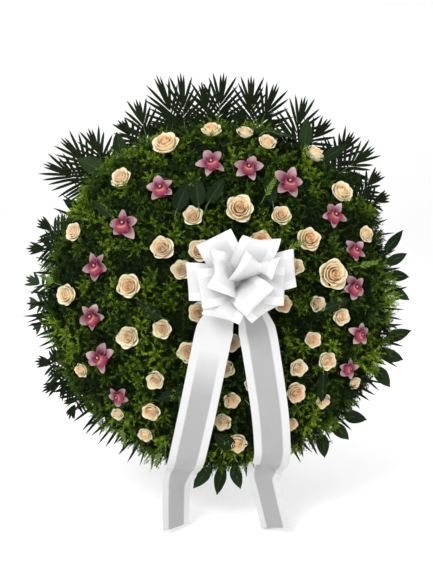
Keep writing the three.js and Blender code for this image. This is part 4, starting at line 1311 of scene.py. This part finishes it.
def foot_cap(shape, x, y):
    """A round rubber cap with a softened edge and a flare at the floor."""
    radius, height = FOOT["radius"], FOOT["height"]
    profile = [(radius - 1.5, 0), (radius, 1.2), (radius, 5), (radius - 1.6, 8)]
    profile += [(radius - 1.8, height - 3), (radius - 4, height)]
    shape.add_tube([(x, y, h) for _, h in profile], [r for r, _ in profile], 32, 0.5)


def stand_piece(name, shape, finish, node):
    piece(name, shape, [finish], [node], upright_place)


def stand():
    leg_back = ROD + FIT
    bar_back = leg_back + 2 * ROD + FIT
    foot_z = (FOOT["floor"] - CENTRE_HEIGHT + leg_back * sin(LEAN)) / cos(LEAN)
    for name, side in (("left", -1), ("right", 1)):
        tip = leaning(side * LEG_FOOT, leg_back, foot_z)
        leg, cap = Shape(), Shape()
        add_rod(leg, tip, leaning(side * LEG_TOP[0], leg_back, LEG_TOP[1]))
        foot_cap(cap, tip[0], tip[1])
        stand_piece(f"leg_{name}", leg, PAINT, f"stand_leg_{name}")
        stand_piece(f"foot_{name}", cap, RUBBER, f"stand_foot_{name}")
    reach = LEG_TOP[0] + PAST["top_bar"]
    bar = Shape()
    add_rod(bar, leaning(-reach, bar_back, TOP_BAR), leaning(reach, bar_back, TOP_BAR))
    stand_piece("top_bar", bar, PAINT, "stand_top_bar")
    peg_z = -sqrt(FOAM["radius"] ** 2 - PEG["x"] ** 2) - ROD - FIT
    reach = LEG_TOP[0] + PAST["peg_bar"]
    pegs = Shape()
    add_rod(pegs, leaning(-reach, bar_back, peg_z), leaning(reach, bar_back, peg_z))
    for side in (-1, 1):
        x = side * PEG["x"]
        add_rod(pegs, leaning(x, bar_back, peg_z), leaning(x, bar_back - PEG["length"], peg_z))
    stand_piece("peg_bar", pegs, PAINT, "stand_peg_bar")
    tip = np.array([0, REAR_FOOT_BACK, FOOT["floor"]])
    rise = unit(leaning(0, bar_back, TOP_BAR) - tip)
    behind = np.array([0, rise[2], -rise[1]])
    top = leaning(0, bar_back, TOP_BAR) + behind * (2 * ROD + FIT) + PAST["rear_leg"] * rise
    leg, cap = Shape(), Shape()
    add_rod(leg, tip, top)
    foot_cap(cap, tip[0], tip[1])
    stand_piece("rear_leg", leg, PAINT, "stand_rear_leg")
    stand_piece("foot_rear", cap, RUBBER, "stand_foot_rear")


make_camera()
make_light()
make_backdrop()

FERN_GREEN, ROSE = fern_finish(), rose_finish()
# The fern's core is near black: painted shade for the gaps between the plumes
CORE = mottled_finish(
    "fern_core_painted_shade", (90, 6), (0.35, (0.003, 0.006, 0.002)), (0.7, (0.014, 0.026, 0.006)),
    (260, 5), 0.8, 0.004, Roughness=0.9, Specular_IOR_Level=0.05,
)
STEM = mottled_finish(
    "stem", (140, 4), (0.3, (0.05, 0.10, 0.025)), (0.7, (0.10, 0.17, 0.05)),
    (500, 3), 0.3, 0.0006, Roughness=0.55,
)
TEPALS, LIP, COLUMN = tepal_finish(), lip_finish(), column_finish()
PALM_GREEN = leaf_finish("palm", (0.002, 0.005, 0.001), (0.009, 0.016, 0.004), 30.0, 0.55)
LEAF = leaf_finish("broad_leaf", (0.003, 0.008, 0.002), (0.016, 0.032, 0.009), 34.0, 0.5)
SPRAY_GREEN = leaf_finish("spray_leaf", (0.010, 0.022, 0.010), (0.04, 0.066, 0.028), 20.0, 0.5)
SPRIG = leaf_finish("sprig_leaf", (0.05, 0.11, 0.014), (0.14, 0.22, 0.03), 20.0, 0.5)
# The bow's satin is a lit copy of the tails': its edges are painted brighter (0.84 against 0.67), painted
# light that lifts the shaded bow
BOW_SATIN = satin_finish("satin_bow_painted_light", 0.84, 0.69)
PAINT = mottled_finish(
    "stand_paint", (60, 5), (0.3, (0.010, 0.020, 0.012)), (0.7, (0.022, 0.038, 0.024)),
    (700, 5), 0.25, 0.0003, Metallic=0.3, Roughness=0.4,
)
RUBBER = mottled_finish(
    "foot_rubber", (200, 4), (0.3, grey(0.010)), (0.7, grey(0.024)),
    (900, 4), 0.4, 0.0005, Roughness=0.85,
)

for material_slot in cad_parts["foam_disc"].material_slots:
    material_slot.material = foam_finish()
piece("fern_core", fern_core(), [CORE], ["fern_mat"])
fern_plumes()
fern_back()
roses()
orchids()
fronds("palm_blades", "palm_fronds", PALM_ROWS, PALM, PALM_GREEN)
fronds("small_leaf_spray", "leafy_spray", SPRAY_ROWS, SPRAY, SPRAY_GREEN)
rim_leaves()
filling_leaves()
rim_blades()
face_leaves()
face_sprigs()
tails(bow())
stand()
